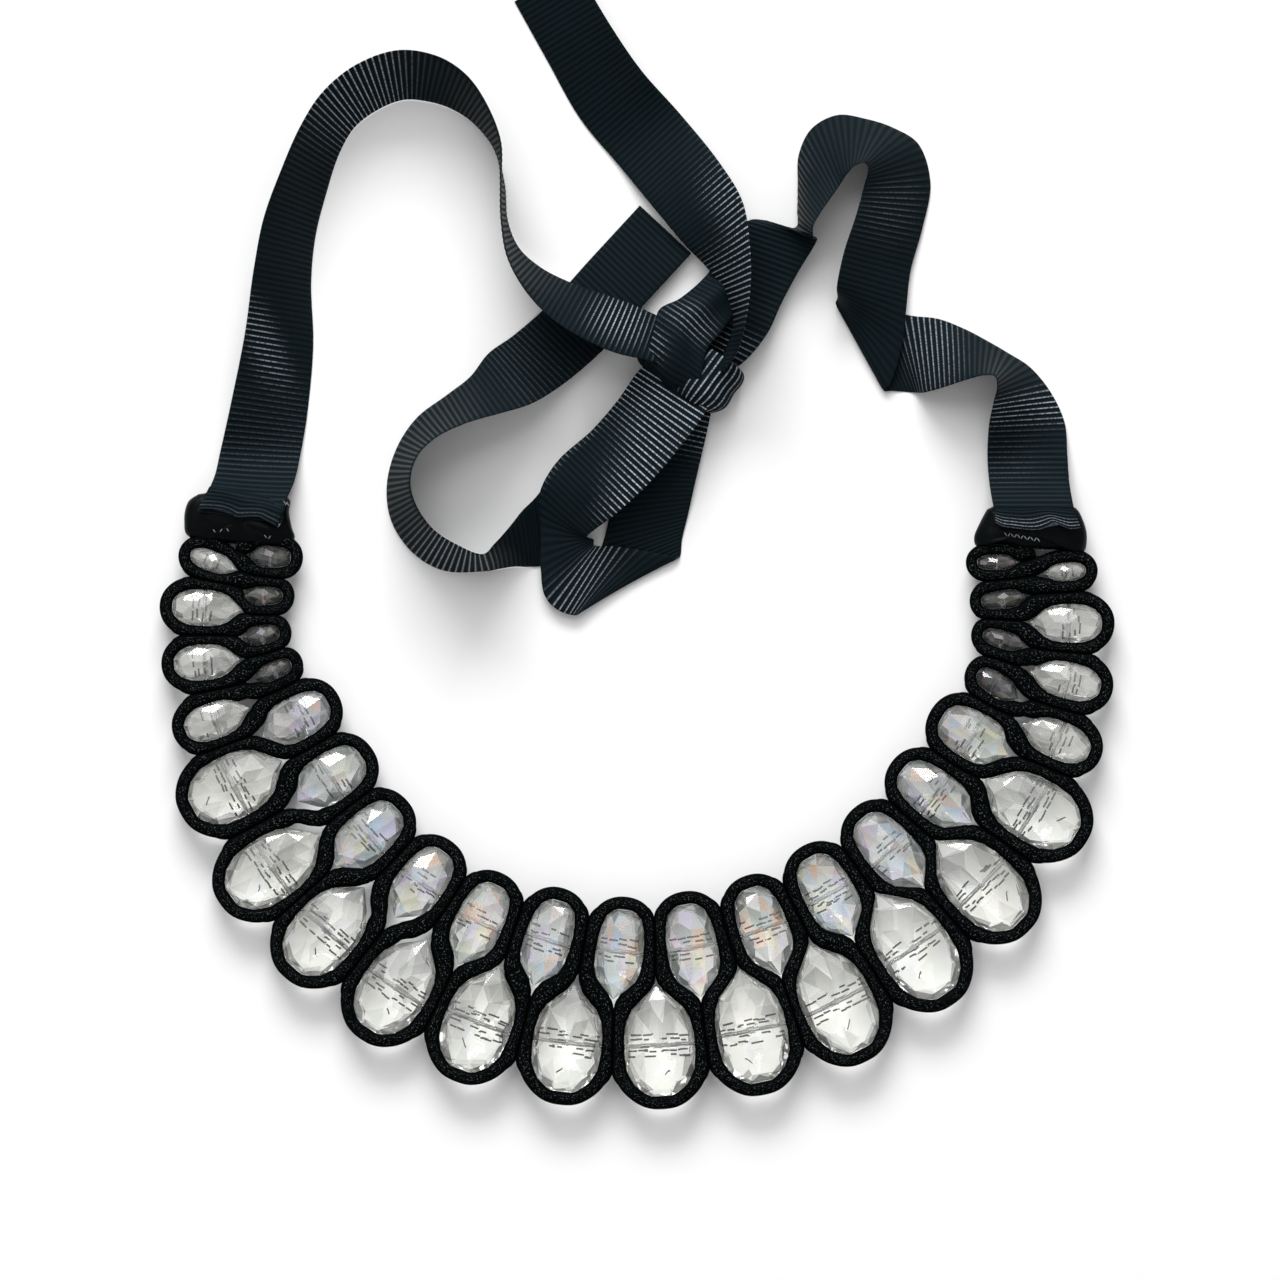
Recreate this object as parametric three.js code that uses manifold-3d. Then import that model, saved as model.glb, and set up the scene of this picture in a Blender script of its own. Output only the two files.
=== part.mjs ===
// Crystal bib necklace, tied with ribbon and laid down flat. Millimetres, +Z up.
//
// Two rows of cross-drilled crystal beads sit side by side, and one soft black cord winds between
// them: round the outer end of an outer bead, over the inner end of the next inner bead, and so on.
// Both ends of the cord are gathered under a folded ribbon end. The two ribbon ties meet in a knot
// with one bow loop and two tails.

import * as THREE from 'three';
import { ConvexGeometry } from 'three/addons/geometries/ConvexGeometry.js';
import { mergeVertices } from 'three/addons/utils/BufferGeometryUtils.js';
import Module from 'manifold-3d';

// ---- driving sizes ----

const GAP = 0.3;                 // room kept between pieces that touch
const BEAD_PLANE = 4.8;          // height of the beads' girdles and of the cord's middle
const DRILL = 1.2;               // hole across each bead
const CORD_WIDTH = 3.2;          // across, where nothing presses on it
const CORD_HEIGHT = 4.0;
const CORD_STEP = 1.5;           // spacing of the points the cord is laid through
const CORD_SIDES = 8;
const CORD_NODES = 6;            // solids that the cord is divided into
const SAME_BEND = 9;             // nearer than this along the cord, two points are on one bend
// Laying the cord: in each round a point makes good this share of its lack of room from a bead
// or from another run. It is drawn towards the beads and the run within reach by a share of the
// room to spare, and then eases some of the way towards its neighbours.
const ROOM_SHARE = { bead: 0.5, run: 0.12 };
const DRAW_REACH = 3;
const LAYING = [
  { rounds: 40, ease: 0.2, draw: { bead: 0.12, run: 0.1 } },
  { rounds: 40, ease: 0.12, draw: { bead: 0.1, run: 0.08 } },
  { rounds: 12, ease: 0.3, draw: { bead: 0.06, run: 0.05 } },
];
const SECTION_TURN = 16;         // degrees between the cord's sections, at most
const SECTION_RUN = 5;           // distance between them, at most
const RIBBON_WIDTH = 20;
const RIBBON_THICKNESS = 1.0;
const RIBBON_REST = 0.3;         // room under a ribbon that lies on the surface
const RIBBON_STEPS = 3;          // sections from one row of a ribbon's table to the next

// ---- beads ----

// Half outline of a bead, from its narrow end to its round end: how far along its length,
// and how wide there, as a fraction of its full width.
const OUTER_OUTLINE = [
  // along, wide
  [0.00, 0.00],
  [0.06, 0.22],
  [0.12, 0.43],
  [0.21, 0.72],
  [0.31, 0.89],
  [0.44, 0.98],
  [0.60, 1.00],
  [0.77, 0.95],
  [0.90, 0.74],
  [0.97, 0.48],
  [1.00, 0.30],
];
const INNER_OUTLINE = [
  // along, wide
  [0.00, 0.00],
  [0.06, 0.22],
  [0.12, 0.46],
  [0.22, 0.82],
  [0.34, 0.97],
  [0.50, 1.00],
  [0.66, 0.97],
  [0.80, 0.88],
  [0.92, 0.72],
  [0.98, 0.46],
  [1.00, 0.30],
];

// Outer row, left to right. x, y: middle. heading: degrees, from the narrow end to the round end.
const OUTER_BEADS = [
  // x, y, heading, length, width, thickness
  [-106.3, 19.5, 160, 12.3, 5.0, 5.5],
  [-108.0, 8.0, 177, 17.4, 9.0, 7.0],
  [-108.0, -5.5, 184, 16.5, 8.8, 7.0],
  [-105.5, -19.8, 200, 16.8, 9.0, 7.0],
  [-100.5, -36.0, 208, 25.2, 15.8, 9.6],
  [-91.0, -56.2, 215, 27.0, 16.0, 9.6],
  [-77.6, -71.7, 229, 26.7, 16.2, 9.6],
  [-60.4, -85.8, 236, 26.6, 16.6, 9.6],
  [-40.0, -94.4, 249, 27.1, 16.8, 9.6],
  [-18.0, -99.4, 263, 26.7, 17.2, 9.6],
  [4.8, -100.0, 273, 27.5, 17.6, 9.6],
  [27.6, -96.3, 281, 28.4, 17.6, 9.6],
  [48.6, -89.2, 296, 28.9, 17.6, 9.6],
  [67.7, -75.7, 305, 30.2, 17.6, 9.6],
  [84.4, -60.2, 316, 28.7, 17.0, 9.6],
  [97.4, -41.7, 329, 26.3, 16.0, 9.6],
  [103.6, -24.6, 337, 18.3, 9.4, 7.0],
  [106.1, -9.9, 346, 18.0, 9.0, 7.0],
  [106.3, 4.2, 359, 17.8, 9.6, 7.0],
  [106.0, 17.0, 5, 10.5, 4.5, 5.5],
];
// Inner row, left to right.
const INNER_BEADS = [
  // x, y, heading, length, width, thickness
  [-92.5, 20.8, 357, 10.5, 5.4, 5.5],
  [-94.2, 11.0, 1, 9.8, 4.6, 5.0],
  [-94.8, 1.2, 10, 9.5, 4.8, 5.0],
  [-91.8, -7.8, 24, 10.0, 4.4, 5.0],
  [-86.2, -19.8, 28, 18.2, 10.8, 8.0],
  [-77.7, -34.6, 35, 19.5, 12.1, 8.0],
  [-68.5, -49.3, 43, 21.0, 12.0, 8.0],
  [-55.1, -61.2, 53, 20.5, 11.8, 8.0],
  [-40.5, -71.2, 64, 22.0, 11.8, 8.0],
  [-23.3, -75.8, 72, 22.2, 11.6, 8.0],
  [-5.2, -78.6, 82, 22.5, 11.8, 8.0],
  [13.2, -77.7, 100, 23.5, 12.6, 8.0],
  [31.2, -72.9, 110, 23.0, 12.2, 8.0],
  [47.7, -64.2, 119, 22.5, 12.6, 8.0],
  [63.1, -53.2, 132, 23.0, 12.4, 8.0],
  [74.3, -39.1, 142, 22.0, 12.0, 8.0],
  [83.7, -24.1, 150, 19.0, 12.0, 8.0],
  [89.5, -11.4, 146, 12.0, 5.8, 5.0],
  [91.0, 0.0, 163, 11.0, 4.4, 5.0],
  [91.0, 10.2, 187, 11.5, 4.6, 5.0],
  [89.4, 19.4, 180, 10.2, 3.8, 5.0],
];

// Facet rings of a bead's dome, as fractions of its half length, half width and half height.
const SHOULDER = { reach: 0.85, rise: 0.52, corners: 8 };
const KITE_TIP = { along: 0.60, across: 0.66, rise: 0.85 };
const KITE_SIDE = { along: 0.30, across: 0.36, rise: 0.925 };

// ---- ribbon runs ----

// Each row is a section from the ribbon's left edge to its right edge, seen along its run.
// x, y: middle of the section. low: room under its lower edge. across: direction from left edge
// to right edge, degrees. tilt: degrees, positive where the right edge is the upper one.
// span: length of the section where it isn't the ribbon's width, as at a slanted end or a fold.
const LEFT_TIE = [
  // x, y, low, across, tilt, span
  [-99.9, 30.6, 8.6, -8, 0, 21.6],
  [-98.4, 35.0, 8.2, -6, 0],
  [-96.2, 40.5, 4.2, -3, 0],
  [-94.9, 46.5, 1.0, -3, -4],
  [-92.6, 58.0, 0, -8, -18],
  [-90.1, 75.0, 0, -9, -32],
  [-89.2, 91.0, 0, -10, -45],
  [-87.4, 103.0, 0, -17, -49],
  [-84.0, 114.0, 0, -24, -53],
  [-79.8, 124.8, 0, -35, -56],
  [-75.2, 132.2, 0, -48, -56],
  [-68.2, 137.8, 0, -66, -54],
  [-59.6, 140.9, 0, -85, -54],
  [-51.6, 139.9, 0, -104, -57],
  [-45.4, 136.8, 0, -118, -64],
  [-40.2, 131.6, 0, -133, -74],
  [-35.6, 123.5, 0, -160, -84],
  [-34.3, 114.0, 0, -174, -92],
  [-33.8, 104.5, 0.4, -166, -94],
  [-31.6, 96.6, 1.0, -137, -101],
  [-27.0, 90.4, 2.2, -127, -110],
  [-20.6, 85.2, 4.0, -119, -120],
  [-12.4, 81.0, 4.8, -117, -128],
  [-4.0, 77.6, 4.2, -112, -136, 18],
  [4.0, 75.0, 3.4, -108, -144, 14],
];
const RIGHT_TIE = [
  // x, y, low, across, tilt, span
  [99.0, 29.4, 8.6, -4, 0, 20.4],
  [98.0, 34.0, 8.2, 0, 0],
  [97.2, 39.5, 4.2, 0, 0],
  [96.8, 46.0, 1.0, 0, 4],
  [96.6, 54.0, 0, 3, -18],
  [95.4, 60.5, 0, 10, -42],
  [93.2, 65.6, 0, 30, -60],
  [90.2, 68.6, 0, 58, -69],
  [86.4, 70.2, 0, 80, -64],
  [81.6, 71.2, 0, 90, -51],
  [75.0, 71.6, 0, 93, -30],
  [69.6, 71.4, 0, 98, -14],
  [64.6, 72.2, 0.1, 110, 0, 22],
  [58.6, 73.4, 0.2, 120, 0, 26.5],
  [57.0, 72.6, 0.9, 122, 0, 27],
  [58.4, 73.8, 1.7, 124, 0, 26.5],
  [58.2, 79.4, 1.8, 143, 10, 22],
  [57.8, 85.4, 1.7, 162, 24],
  [59.2, 94.4, 1.2, 166, 30],
  [62.2, 104.4, 0.6, 171, 32],
  [64.2, 113.6, 0, 184, 33],
  [63.2, 120.6, 0, 208, 44],
  [59.6, 123.4, 0, 232, 54],
  [55.2, 124.2, 0, 256, 52],
  [50.4, 123.6, 0, 278, 40],
  [46.2, 120.4, 0, 294, 36],
  [43.4, 115.4, 0, 302, 46],
  [42.0, 110.0, 0, 300, 60],
  [41.2, 105.2, 0, 305, 72],
  [41.0, 101.8, 0, 325, 76],
  [35.8, 102.2, 0, 341, 24, 19],
  [30.4, 95.4, 0, 340, 12],
  [26.2, 87.8, 0, 338, 10],
  [23.0, 80.6, 0, 336, 14],
  [19.4, 74.0, 0.4, 332, 14, 17],
  [16.0, 69.0, 1.0, 328, 10, 12],
];
const SHORT_TAIL = [
  // x, y, low, across, tilt, span
  [6.4, 102.6, 0, 137, -8, 17.8],
  [-5.6, 89.6, 0, 136, -8, 17.8],
  [-16.4, 77.8, 0, 136, -8, 17.8],
  [-25.4, 70.0, 0, 136, -14, 18],
  [-32.6, 65.2, 0, 130, -34],
  [-39.0, 61.0, 0, 126, -54],
  [-45.8, 57.6, 0, 122, -64],
  [-53.4, 52.8, 0, 134, -69],
  [-58.2, 46.6, 0, 160, -73],
  [-60.2, 38.8, 0, 188, -72],
  [-58.8, 31.4, 0, 212, -68],
  [-54.0, 24.6, 0, 230, -67],
  [-47.4, 20.6, 0, 244, -69],
  [-38.6, 19.3, 0, 285, -78],
  [-35.4, 21.0, 0, 281, -68, 17],
  [-32.0, 23.1, 0, 279, -52, 15.5],
  [-28.6, 25.2, 0, 277, -30, 16],
  [-25.2, 27.2, 0, 276, -4, 17],
  [-16.4, 35.8, 0, 310, 0, 15.5],
  [-9.0, 43.0, 0, 316, 0, 16],
  [-2.0, 51.0, 0, 322, 0, 16],
  [5.0, 61.0, 0, 326, 0, 14],
];
const LONG_TAIL = [
  // x, y, low, across, tilt, span
  [19.0, 67.0, 5.0, 0, 60, 8],
  [22.6, 72.0, 4.6, 4, 74, 12],
  [24.8, 79.4, 4.2, 12, 80, 18],
  [24.2, 87.6, 3.4, 18, 70],
  [22.2, 95.2, 3.2, 28, 55],
  [18.6, 103.6, 4.2, 38, 28],
  [12.4, 112.6, 3.4, 42, 8],
  [2.6, 124.8, 0.6, 43, 0],
  [-7.4, 136.4, 0, 38, 15],
  [-15.6, 149.6, 0, 31, 27],
  [-23.8, 164.0, 0, 30, 29],
];
const BOW_LOOP = [
  // x, y, low, across, tilt, span
  [11.0, 66.0, 7.0, 148, 0, 18],
  [7.4, 61.2, 5.6, 147, -10],
  [2.4, 54.2, 5.6, 142, -13],
  [-4.8, 45.8, 5.6, 137, -13],
  [-13.0, 38.4, 5.4, 135, -10],
  [-17.6, 33.6, 5.6, 136, 0, 17.5],
  [-19.2, 30.8, 4.4, 141, 0, 15.5],
  [-18.8, 26.8, 2.8, 168, 0, 12.5],
  [-18.2, 21.6, 2.2, 208, 0, 15],
  [-17.7, 17.4, 2.0, 226, 0, 17.6],
  [-15.6, 15.6, 1.9, 236, 0, 19],
  [-12.2, 14.9, 1.8, 235, 0, 20.4],
  [-7.9, 14.0, 1.8, 221, 0, 22.6],
  [-3.4, 14.3, 1.6, 210, 0, 26.4],
  [-2.6, 13.9, 0.8, 209, 0, 27.6],
  [-2.0, 14.7, 0, 208, 0, 27.4],
  [-1.0, 20.2, 0, 203, 0, 25],
  [1.6, 28.6, 0.4, 192, 0, 21],
  [3.4, 37.6, 1.5, 180, 0],
  [5.0, 45.6, 1.6, 170, 0],
  [7.0, 54.2, 1.8, 166, 0],
  [10.0, 64.0, 3.0, 165, 0, 18],
];

// ---- knot and gathered ends ----

const KNOT = { x: 11.4, y: 70.2, foot: 0.4 };
// How far the knot reaches from its middle, at every 30 degrees from +X.
const KNOT_REACH = [13.6, 14.0, 14.4, 13.2, 13.8, 13.0, 12.6, 12.4, 11.6, 12.2, 12.6, 13.4];
const KNOT_LEVELS = [
  // height, reach, twist of its folds in degrees
  [0.0, 0.62, 0],
  [2.6, 0.86, 6],
  [6.4, 1.00, 14],
  [10.4, 0.96, 24],
  [13.6, 0.78, 34],
  [15.8, 0.46, 44],
];
const KNOT_FOLD = 0.07;          // depth of the knot's folds, as a fraction of its reach

// Soft bundles at the cord's ends. ridges: folds across the top, running the way the cord leaves.
const GATHERED_ENDS = {
  left: { x: -100.2, y: 29.8, heading: -6, length: 25.5, depth: 9.6, height: 6.4, ridges: 3.5 },
  right: { x: 98.4, y: 28.6, heading: 3, length: 25.0, depth: 9.6, height: 6.4, ridges: 4 },
};
const RIDGE_DEPTH = 0.7;
const BUNDLE_FOOT = 1.6;         // height of the bundles' underside
const BUNDLE_TAPER = 0.8;        // 1 brings a bundle's ends down to a point
const BUNDLE_PROFILE = [
  // back, rise: fractions of half the depth and of the height over the foot
  [-1, 0],
  [1, 0],
  [1.04, 0.44],
  [0.6, 1],
  [-0.6, 0.9],
  [-1.04, 0.38],
];

const COLOURS = {
  clear: { color: 0xf2f4f5, roughness: 0.05, metalness: 0 },
  iridescent: { color: 0xcfcfd2, roughness: 0.05, metalness: 0 },
  cord: { color: 0x101416, roughness: 0.95, metalness: 0 },
  ribbon: { color: 0x14171d, roughness: 0.7, metalness: 0 },
  gathered: { color: 0x0c0e10, roughness: 0.45, metalness: 0 },
};

// ---- plan geometry ----

const radians = (degrees) => degrees * Math.PI / 180;
const direction = (degrees) => new THREE.Vector2(Math.cos(radians(degrees)), Math.sin(radians(degrees)));
const clamp = THREE.MathUtils.clamp;

function beadFromRow([x, y, heading, length, width, thickness], outline, turn) {
  // ahead is the way the necklace runs from left to right at this bead
  return { middle: new THREE.Vector2(x, y), along: direction(heading), ahead: direction(heading + turn),
    length, width, thickness, outline };
}

function onBead(bead, along, across) {
  return bead.middle.clone()
    .addScaledVector(bead.along, (along - 0.5) * bead.length)
    .addScaledVector(bead.ahead, across * bead.width / 2);
}

// Closed outline: forward side from the narrow end, then back along the other side.
function beadOutline(bead) {
  const front = bead.outline.map(([along, wide]) => onBead(bead, along, wide));
  const back = bead.outline.slice(1).reverse().map(([along, wide]) => onBead(bead, along, -wide));
  return [...front, ...back];
}

const outerBeads = OUTER_BEADS.map((row) => beadFromRow(row, OUTER_OUTLINE, 90));
const innerBeads = INNER_BEADS.map((row) => beadFromRow(row, INNER_OUTLINE, -90));
const threaded = innerBeads.flatMap((bead, i) => (i < outerBeads.length ? [bead, outerBeads[i]] : [bead]));
const outlines = threaded.map(beadOutline);

// ---- laying the cord ----

function nearestOnOutline(point, outline) {
  let best = { distance: Infinity };
  let inside = false;
  for (let i = 0, j = outline.length - 1; i < outline.length; j = i++) {
    const a = outline[j];
    const b = outline[i];
    const edge = b.clone().sub(a);
    const t = clamp(point.clone().sub(a).dot(edge) / edge.lengthSq(), 0, 1);
    const spot = a.clone().addScaledVector(edge, t);
    const distance = spot.distanceTo(point);
    if (distance < best.distance) best = { distance, spot };
    const crosses = (a.y > point.y) !== (b.y > point.y);
    if (crosses && point.x < a.x + (point.y - a.y) * edge.x / edge.y) inside = !inside;
  }
  return { spot: best.spot, distance: inside ? -best.distance : best.distance };
}

// Guide points round one bead: up its rear side, round its end and down its forward side.
function guidePoints(bead) {
  const offset = CORD_WIDTH / 2 + GAP;
  const side = (sign) => bead.outline
    .filter(([along]) => along > 0.4)
    .map(([along, wide]) => {
      const lean = radians(90 * clamp((along - 0.6) / 0.4, 0, 1));
      return onBead(bead, along, sign * wide)
        .addScaledVector(bead.ahead, sign * offset * Math.cos(lean))
        .addScaledVector(bead.along, offset * Math.sin(lean));
    });
  return [...side(-1), ...side(1).reverse()];
}

function resample(points, step) {
  const curve = new THREE.CatmullRomCurve3(points.map((p) => new THREE.Vector3(p.x, p.y, 0)), false, 'centripetal');
  curve.arcLengthDivisions = points.length * 12;
  const count = Math.round(curve.getLength() / step);
  return curve.getSpacedPoints(count).map((p) => new THREE.Vector2(p.x, p.y));
}

// How far a point moves away from what it should just touch. short: the room that it lacks.
function shove(short, push, draw) {
  if (short > 0) return push * short;
  return short > -DRAW_REACH ? draw * short : 0;
}

// Move every point clear of the beads and of the cord's other runs but up to them, then ease the bends.
function settle(points, { rounds, ease, draw }) {
  const apart = Math.ceil(SAME_BEND / CORD_STEP);
  const half = CORD_WIDTH / 2;
  let line = points;
  for (let round = 0; round < rounds; round++) {
    line = line.map((point, i) => {
      if (i === 0 || i === line.length - 1) return point;
      const moved = point.clone();
      for (const [k, outline] of outlines.entries()) {
        if (point.distanceTo(threaded[k].middle) > threaded[k].length) continue;
        const near = nearestOnOutline(point, outline);
        const away = point.clone().sub(near.spot).normalize().multiplyScalar(Math.sign(near.distance));
        moved.addScaledVector(away, shove(half + GAP - near.distance, ROOM_SHARE.bead, draw.bead));
      }
      let nearest = { distance: Infinity };
      for (const [j, other] of line.entries()) {
        if (Math.abs(i - j) < apart) continue;
        const distance = point.distanceTo(other);
        if (distance < nearest.distance) nearest = { distance, other };
        if (distance >= CORD_WIDTH + GAP) continue;
        moved.addScaledVector(point.clone().sub(other).normalize(),
          ROOM_SHARE.run * (CORD_WIDTH + GAP - distance));
      }
      moved.addScaledVector(point.clone().sub(nearest.other).normalize(),
        shove(CORD_WIDTH + GAP - nearest.distance, 0, draw.run));
      const between = line[i - 1].clone().add(line[i + 1]).multiplyScalar(0.5);
      return moved.lerp(between, ease);
    });
  }
  return line;
}

// Half the width that the cord has room for at each point.
function roomFor(line) {
  const apart = Math.ceil(SAME_BEND / CORD_STEP);
  const free = line.map((point, i) => {
    let half = CORD_WIDTH / 2;
    for (const [k, outline] of outlines.entries()) {
      if (point.distanceTo(threaded[k].middle) > threaded[k].length) continue;
      half = Math.min(half, nearestOnOutline(point, outline).distance - GAP);
    }
    for (const [j, other] of line.entries()) {
      if (Math.abs(i - j) >= apart) half = Math.min(half, (point.distanceTo(other) - GAP) / 2);
    }
    return half;
  });
  return free.map((half, i) => Math.min(free[Math.max(i - 1, 0)], half, free[Math.min(i + 1, free.length - 1)]));
}

const CORD_START = new THREE.Vector2(-101.0, 23.6);
const CORD_END = new THREE.Vector2(98.4, 22.6);

function layCord() {
  const guides = [CORD_START, ...threaded.flatMap(guidePoints), CORD_END];
  let line = guides;
  for (const stage of LAYING) line = settle(resample(line, CORD_STEP), stage);
  return { line, half: roomFor(line) };
}

// Fewer points on the straights than in the bends.
function thin({ line, half }, mostTurn, mostLength) {
  const kept = [0];
  let turned = 0;
  let run = 0;
  for (let i = 1; i < line.length - 1; i++) {
    const before = line[i].clone().sub(line[i - 1]);
    const after = line[i + 1].clone().sub(line[i]);
    turned += Math.abs(Math.asin(clamp(before.cross(after) / (before.length() * after.length()), -1, 1)));
    run += before.length();
    if (turned >= mostTurn || run >= mostLength) {
      kept.push(i);
      turned = 0;
      run = 0;
    }
  }
  kept.push(line.length - 1);
  const narrowest = (from, to) => Math.min(...half.slice(from, to + 1));
  return kept.map((i, k) => ({
    point: line[i],
    ahead: line[Math.min(i + 1, line.length - 1)].clone().sub(line[Math.max(i - 1, 0)]).normalize(),
    half: narrowest(kept[Math.max(k - 1, 0)], kept[Math.min(k + 1, kept.length - 1)]),
  }));
}

// ---- solids ----

function closedLoft(rings) {
  // rings of points, all the same length, turning left about the way from first ring to last
  const size = rings[0].length;
  const positions = rings.flat().flatMap((p) => [p.x, p.y, p.z]);
  const index = [];
  for (let r = 0; r + 1 < rings.length; r++) {
    for (let k = 0; k < size; k++) {
      const a = r * size + k;
      const b = r * size + (k + 1) % size;
      index.push(a, b, b + size, a, b + size, a + size);
    }
  }
  const last = (rings.length - 1) * size;
  for (let k = 1; k + 1 < size; k++) {
    index.push(0, k + 1, k);
    index.push(last, last + k, last + k + 1);
  }
  const geometry = new THREE.BufferGeometry();
  geometry.setAttribute('position', new THREE.Float32BufferAttribute(positions, 3));
  geometry.setIndex(index);
  return geometry;
}

const wasm = await Module();
wasm.setup();

function toSolid(geometry) {
  const bare = geometry.clone();
  bare.deleteAttribute('normal');
  bare.deleteAttribute('uv');
  const merged = mergeVertices(bare, 1e-5);
  return new wasm.Manifold(new wasm.Mesh({
    numProp: 3,
    vertProperties: new Float32Array(merged.attributes.position.array),
    triVerts: new Uint32Array(merged.index.array),
  }));
}

function fromSolid(solid) {
  const mesh = solid.getMesh();
  const geometry = new THREE.BufferGeometry();
  geometry.setAttribute('position', new THREE.Float32BufferAttribute(mesh.vertProperties, 3));
  geometry.setIndex([...mesh.triVerts]);
  return geometry;
}

function beadGeometry(bead) {
  const halfLength = bead.length / 2;
  const halfWidth = bead.width / 2;
  const halfHeight = bead.thickness / 2;
  const middleX = 0.04 * bead.length;
  const points = bead.outline.flatMap(([along, wide]) => [1, -1].map((sign) =>
    new THREE.Vector3((along - 0.5) * bead.length, sign * wide * halfWidth, 0)));
  for (const up of [1, -1]) {
    const add = (along, across, rise) =>
      points.push(new THREE.Vector3(middleX + along * halfLength, across * halfWidth, up * rise * halfHeight));
    for (let i = 0; i < SHOULDER.corners; i++) {
      const angle = (i + 0.5) * 2 * Math.PI / SHOULDER.corners;
      add(SHOULDER.reach * 0.96 * Math.cos(angle), SHOULDER.reach * Math.sin(angle), SHOULDER.rise);
    }
    // the back is ground flat at the level of the kites' sides
    const level = up > 0 ? 1 : 1 / KITE_SIDE.rise;
    for (const sign of [1, -1]) {
      add(sign * KITE_TIP.along, 0, KITE_TIP.rise * level);
      add(0, sign * KITE_TIP.across, KITE_TIP.rise * level);
      for (const side of [1, -1]) add(sign * KITE_SIDE.along, side * KITE_SIDE.across, KITE_SIDE.rise * level);
    }
    if (up > 0) add(0, 0, 1);
  }
  const drill = new THREE.CylinderGeometry(DRILL / 2, DRILL / 2, bead.width + 4, 6);
  drill.translate(middleX, 0, 0);
  return fromSolid(toSolid(new ConvexGeometry(points)).subtract(toSolid(drill)));
}

function cordGeometry(stations, clearance = 0) {
  const past = stations.map((_, i) => (i === 0 ? -clearance : i === stations.length - 1 ? clearance : 0));
  const rings = stations.map(({ point, half, ahead }, i) => {
    const middle = point.clone().addScaledVector(ahead, past[i]);
    return Array.from({ length: CORD_SIDES }, (_, k) => {
      const angle = (k + 0.5) * 2 * Math.PI / CORD_SIDES;
      const side = (half + clearance) * Math.cos(angle);
      return new THREE.Vector3(middle.x - ahead.y * side, middle.y + ahead.x * side,
        BEAD_PLANE + Math.sin(angle) * (CORD_HEIGHT / 2 + clearance));
    });
  });
  return closedLoft(rings);
}

// The cord's solids meet end to end with the usual gap.
function cordSections(stations) {
  const sections = [];
  for (let n = 0; n < CORD_NODES; n++) {
    const first = Math.round(n * (stations.length - 1) / CORD_NODES);
    const last = Math.round((n + 1) * (stations.length - 1) / CORD_NODES);
    const part = stations.slice(first, last + 1).map((s) => ({ ...s, point: s.point.clone() }));
    const end = part.length - 1;
    if (n > 0) part[0].point.addScaledVector(part[0].ahead, GAP / 2);
    if (n + 1 < CORD_NODES) part[end].point.addScaledVector(part[end].ahead, -GAP / 2);
    sections.push(part);
  }
  return sections;
}

function ribbonGeometry(rows) {
  const edges = rows.map(([x, y, low, across, tilt, span = RIBBON_WIDTH]) => {
    const flat = direction(across).multiplyScalar(Math.cos(radians(tilt)) * span / 2);
    const rise = Math.sin(radians(tilt)) * span / 2;
    const middle = RIBBON_REST + low + Math.abs(rise) + RIBBON_THICKNESS / 2;
    return {
      left: new THREE.Vector3(x - flat.x, y - flat.y, middle - rise),
      right: new THREE.Vector3(x + flat.x, y + flat.y, middle + rise),
    };
  });
  const left = new THREE.CatmullRomCurve3(edges.map((e) => e.left), false, 'centripetal');
  const right = new THREE.CatmullRomCurve3(edges.map((e) => e.right), false, 'centripetal');
  const count = (rows.length - 1) * RIBBON_STEPS;
  const sections = Array.from({ length: count + 1 }, (_, i) => ({
    left: left.getPoint(i / count),
    right: right.getPoint(i / count),
  }));
  const middle = ({ left: a, right: b }) => a.clone().add(b).multiplyScalar(0.5);
  const rings = sections.map((section, i) => {
    const from = middle(sections[Math.max(i - 1, 0)]);
    const to = middle(sections[Math.min(i + 1, count)]);
    const up = section.right.clone().sub(section.left).cross(to.sub(from)).normalize()
      .multiplyScalar(RIBBON_THICKNESS / 2);
    const { left: a, right: b } = section;
    return [a.clone().add(up), b.clone().add(up), b.clone().sub(up), a.clone().sub(up)];
  });
  return closedLoft(rings);
}

function knotGeometry(clearance = 0) {
  const spokes = 2 * KNOT_REACH.length;
  const rings = KNOT_LEVELS.map(([height, reach, twist]) => Array.from({ length: spokes }, (_, k) => {
    const place = k * KNOT_REACH.length / spokes;
    const near = KNOT_REACH[Math.floor(place)];
    const next = KNOT_REACH[Math.ceil(place) % KNOT_REACH.length];
    const angle = k * 2 * Math.PI / spokes;
    const fold = 1 + KNOT_FOLD * Math.cos(3 * (angle - radians(twist)));
    const radius = (near + next) / 2 * reach * fold + clearance;
    const lift = height === 0 ? -clearance : height === KNOT_LEVELS.at(-1)[0] ? clearance : 0;
    return new THREE.Vector3(KNOT.x + radius * Math.cos(angle), KNOT.y + radius * Math.sin(angle),
      KNOT.foot + height + lift);
  }));
  return closedLoft(rings);
}

function gatheredGeometry({ x, y, heading, length, depth, height, ridges }) {
  const steps = 24;
  const along = direction(heading);
  const away = direction(heading + 90);
  const middle = new THREE.Vector2(x, y);
  const rings = Array.from({ length: steps + 1 }, (_, i) => {
    const t = i / steps;
    const full = Math.sqrt(1 - (2 * t - 1) ** 2 * BUNDLE_TAPER);
    const top = height * (0.35 + 0.65 * full) + RIDGE_DEPTH * Math.cos(2 * Math.PI * ridges * t);
    const half = depth / 2 * (0.75 + 0.25 * full);
    return BUNDLE_PROFILE.map(([back, rise]) => {
      const spot = middle.clone().addScaledVector(along, (t - 0.5) * length).addScaledVector(away, back * half);
      return new THREE.Vector3(spot.x, spot.y, BUNDLE_FOOT + rise * top);
    });
  });
  return closedLoft(rings);
}

// ---- assembly ----

const necklace = new THREE.Group();

function add(name, geometry, finish) {
  const mesh = new THREE.Mesh(geometry, new THREE.MeshStandardMaterial({ ...COLOURS[finish], flatShading: true }));
  mesh.name = name;
  necklace.add(mesh);
  return mesh;
}

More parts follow.
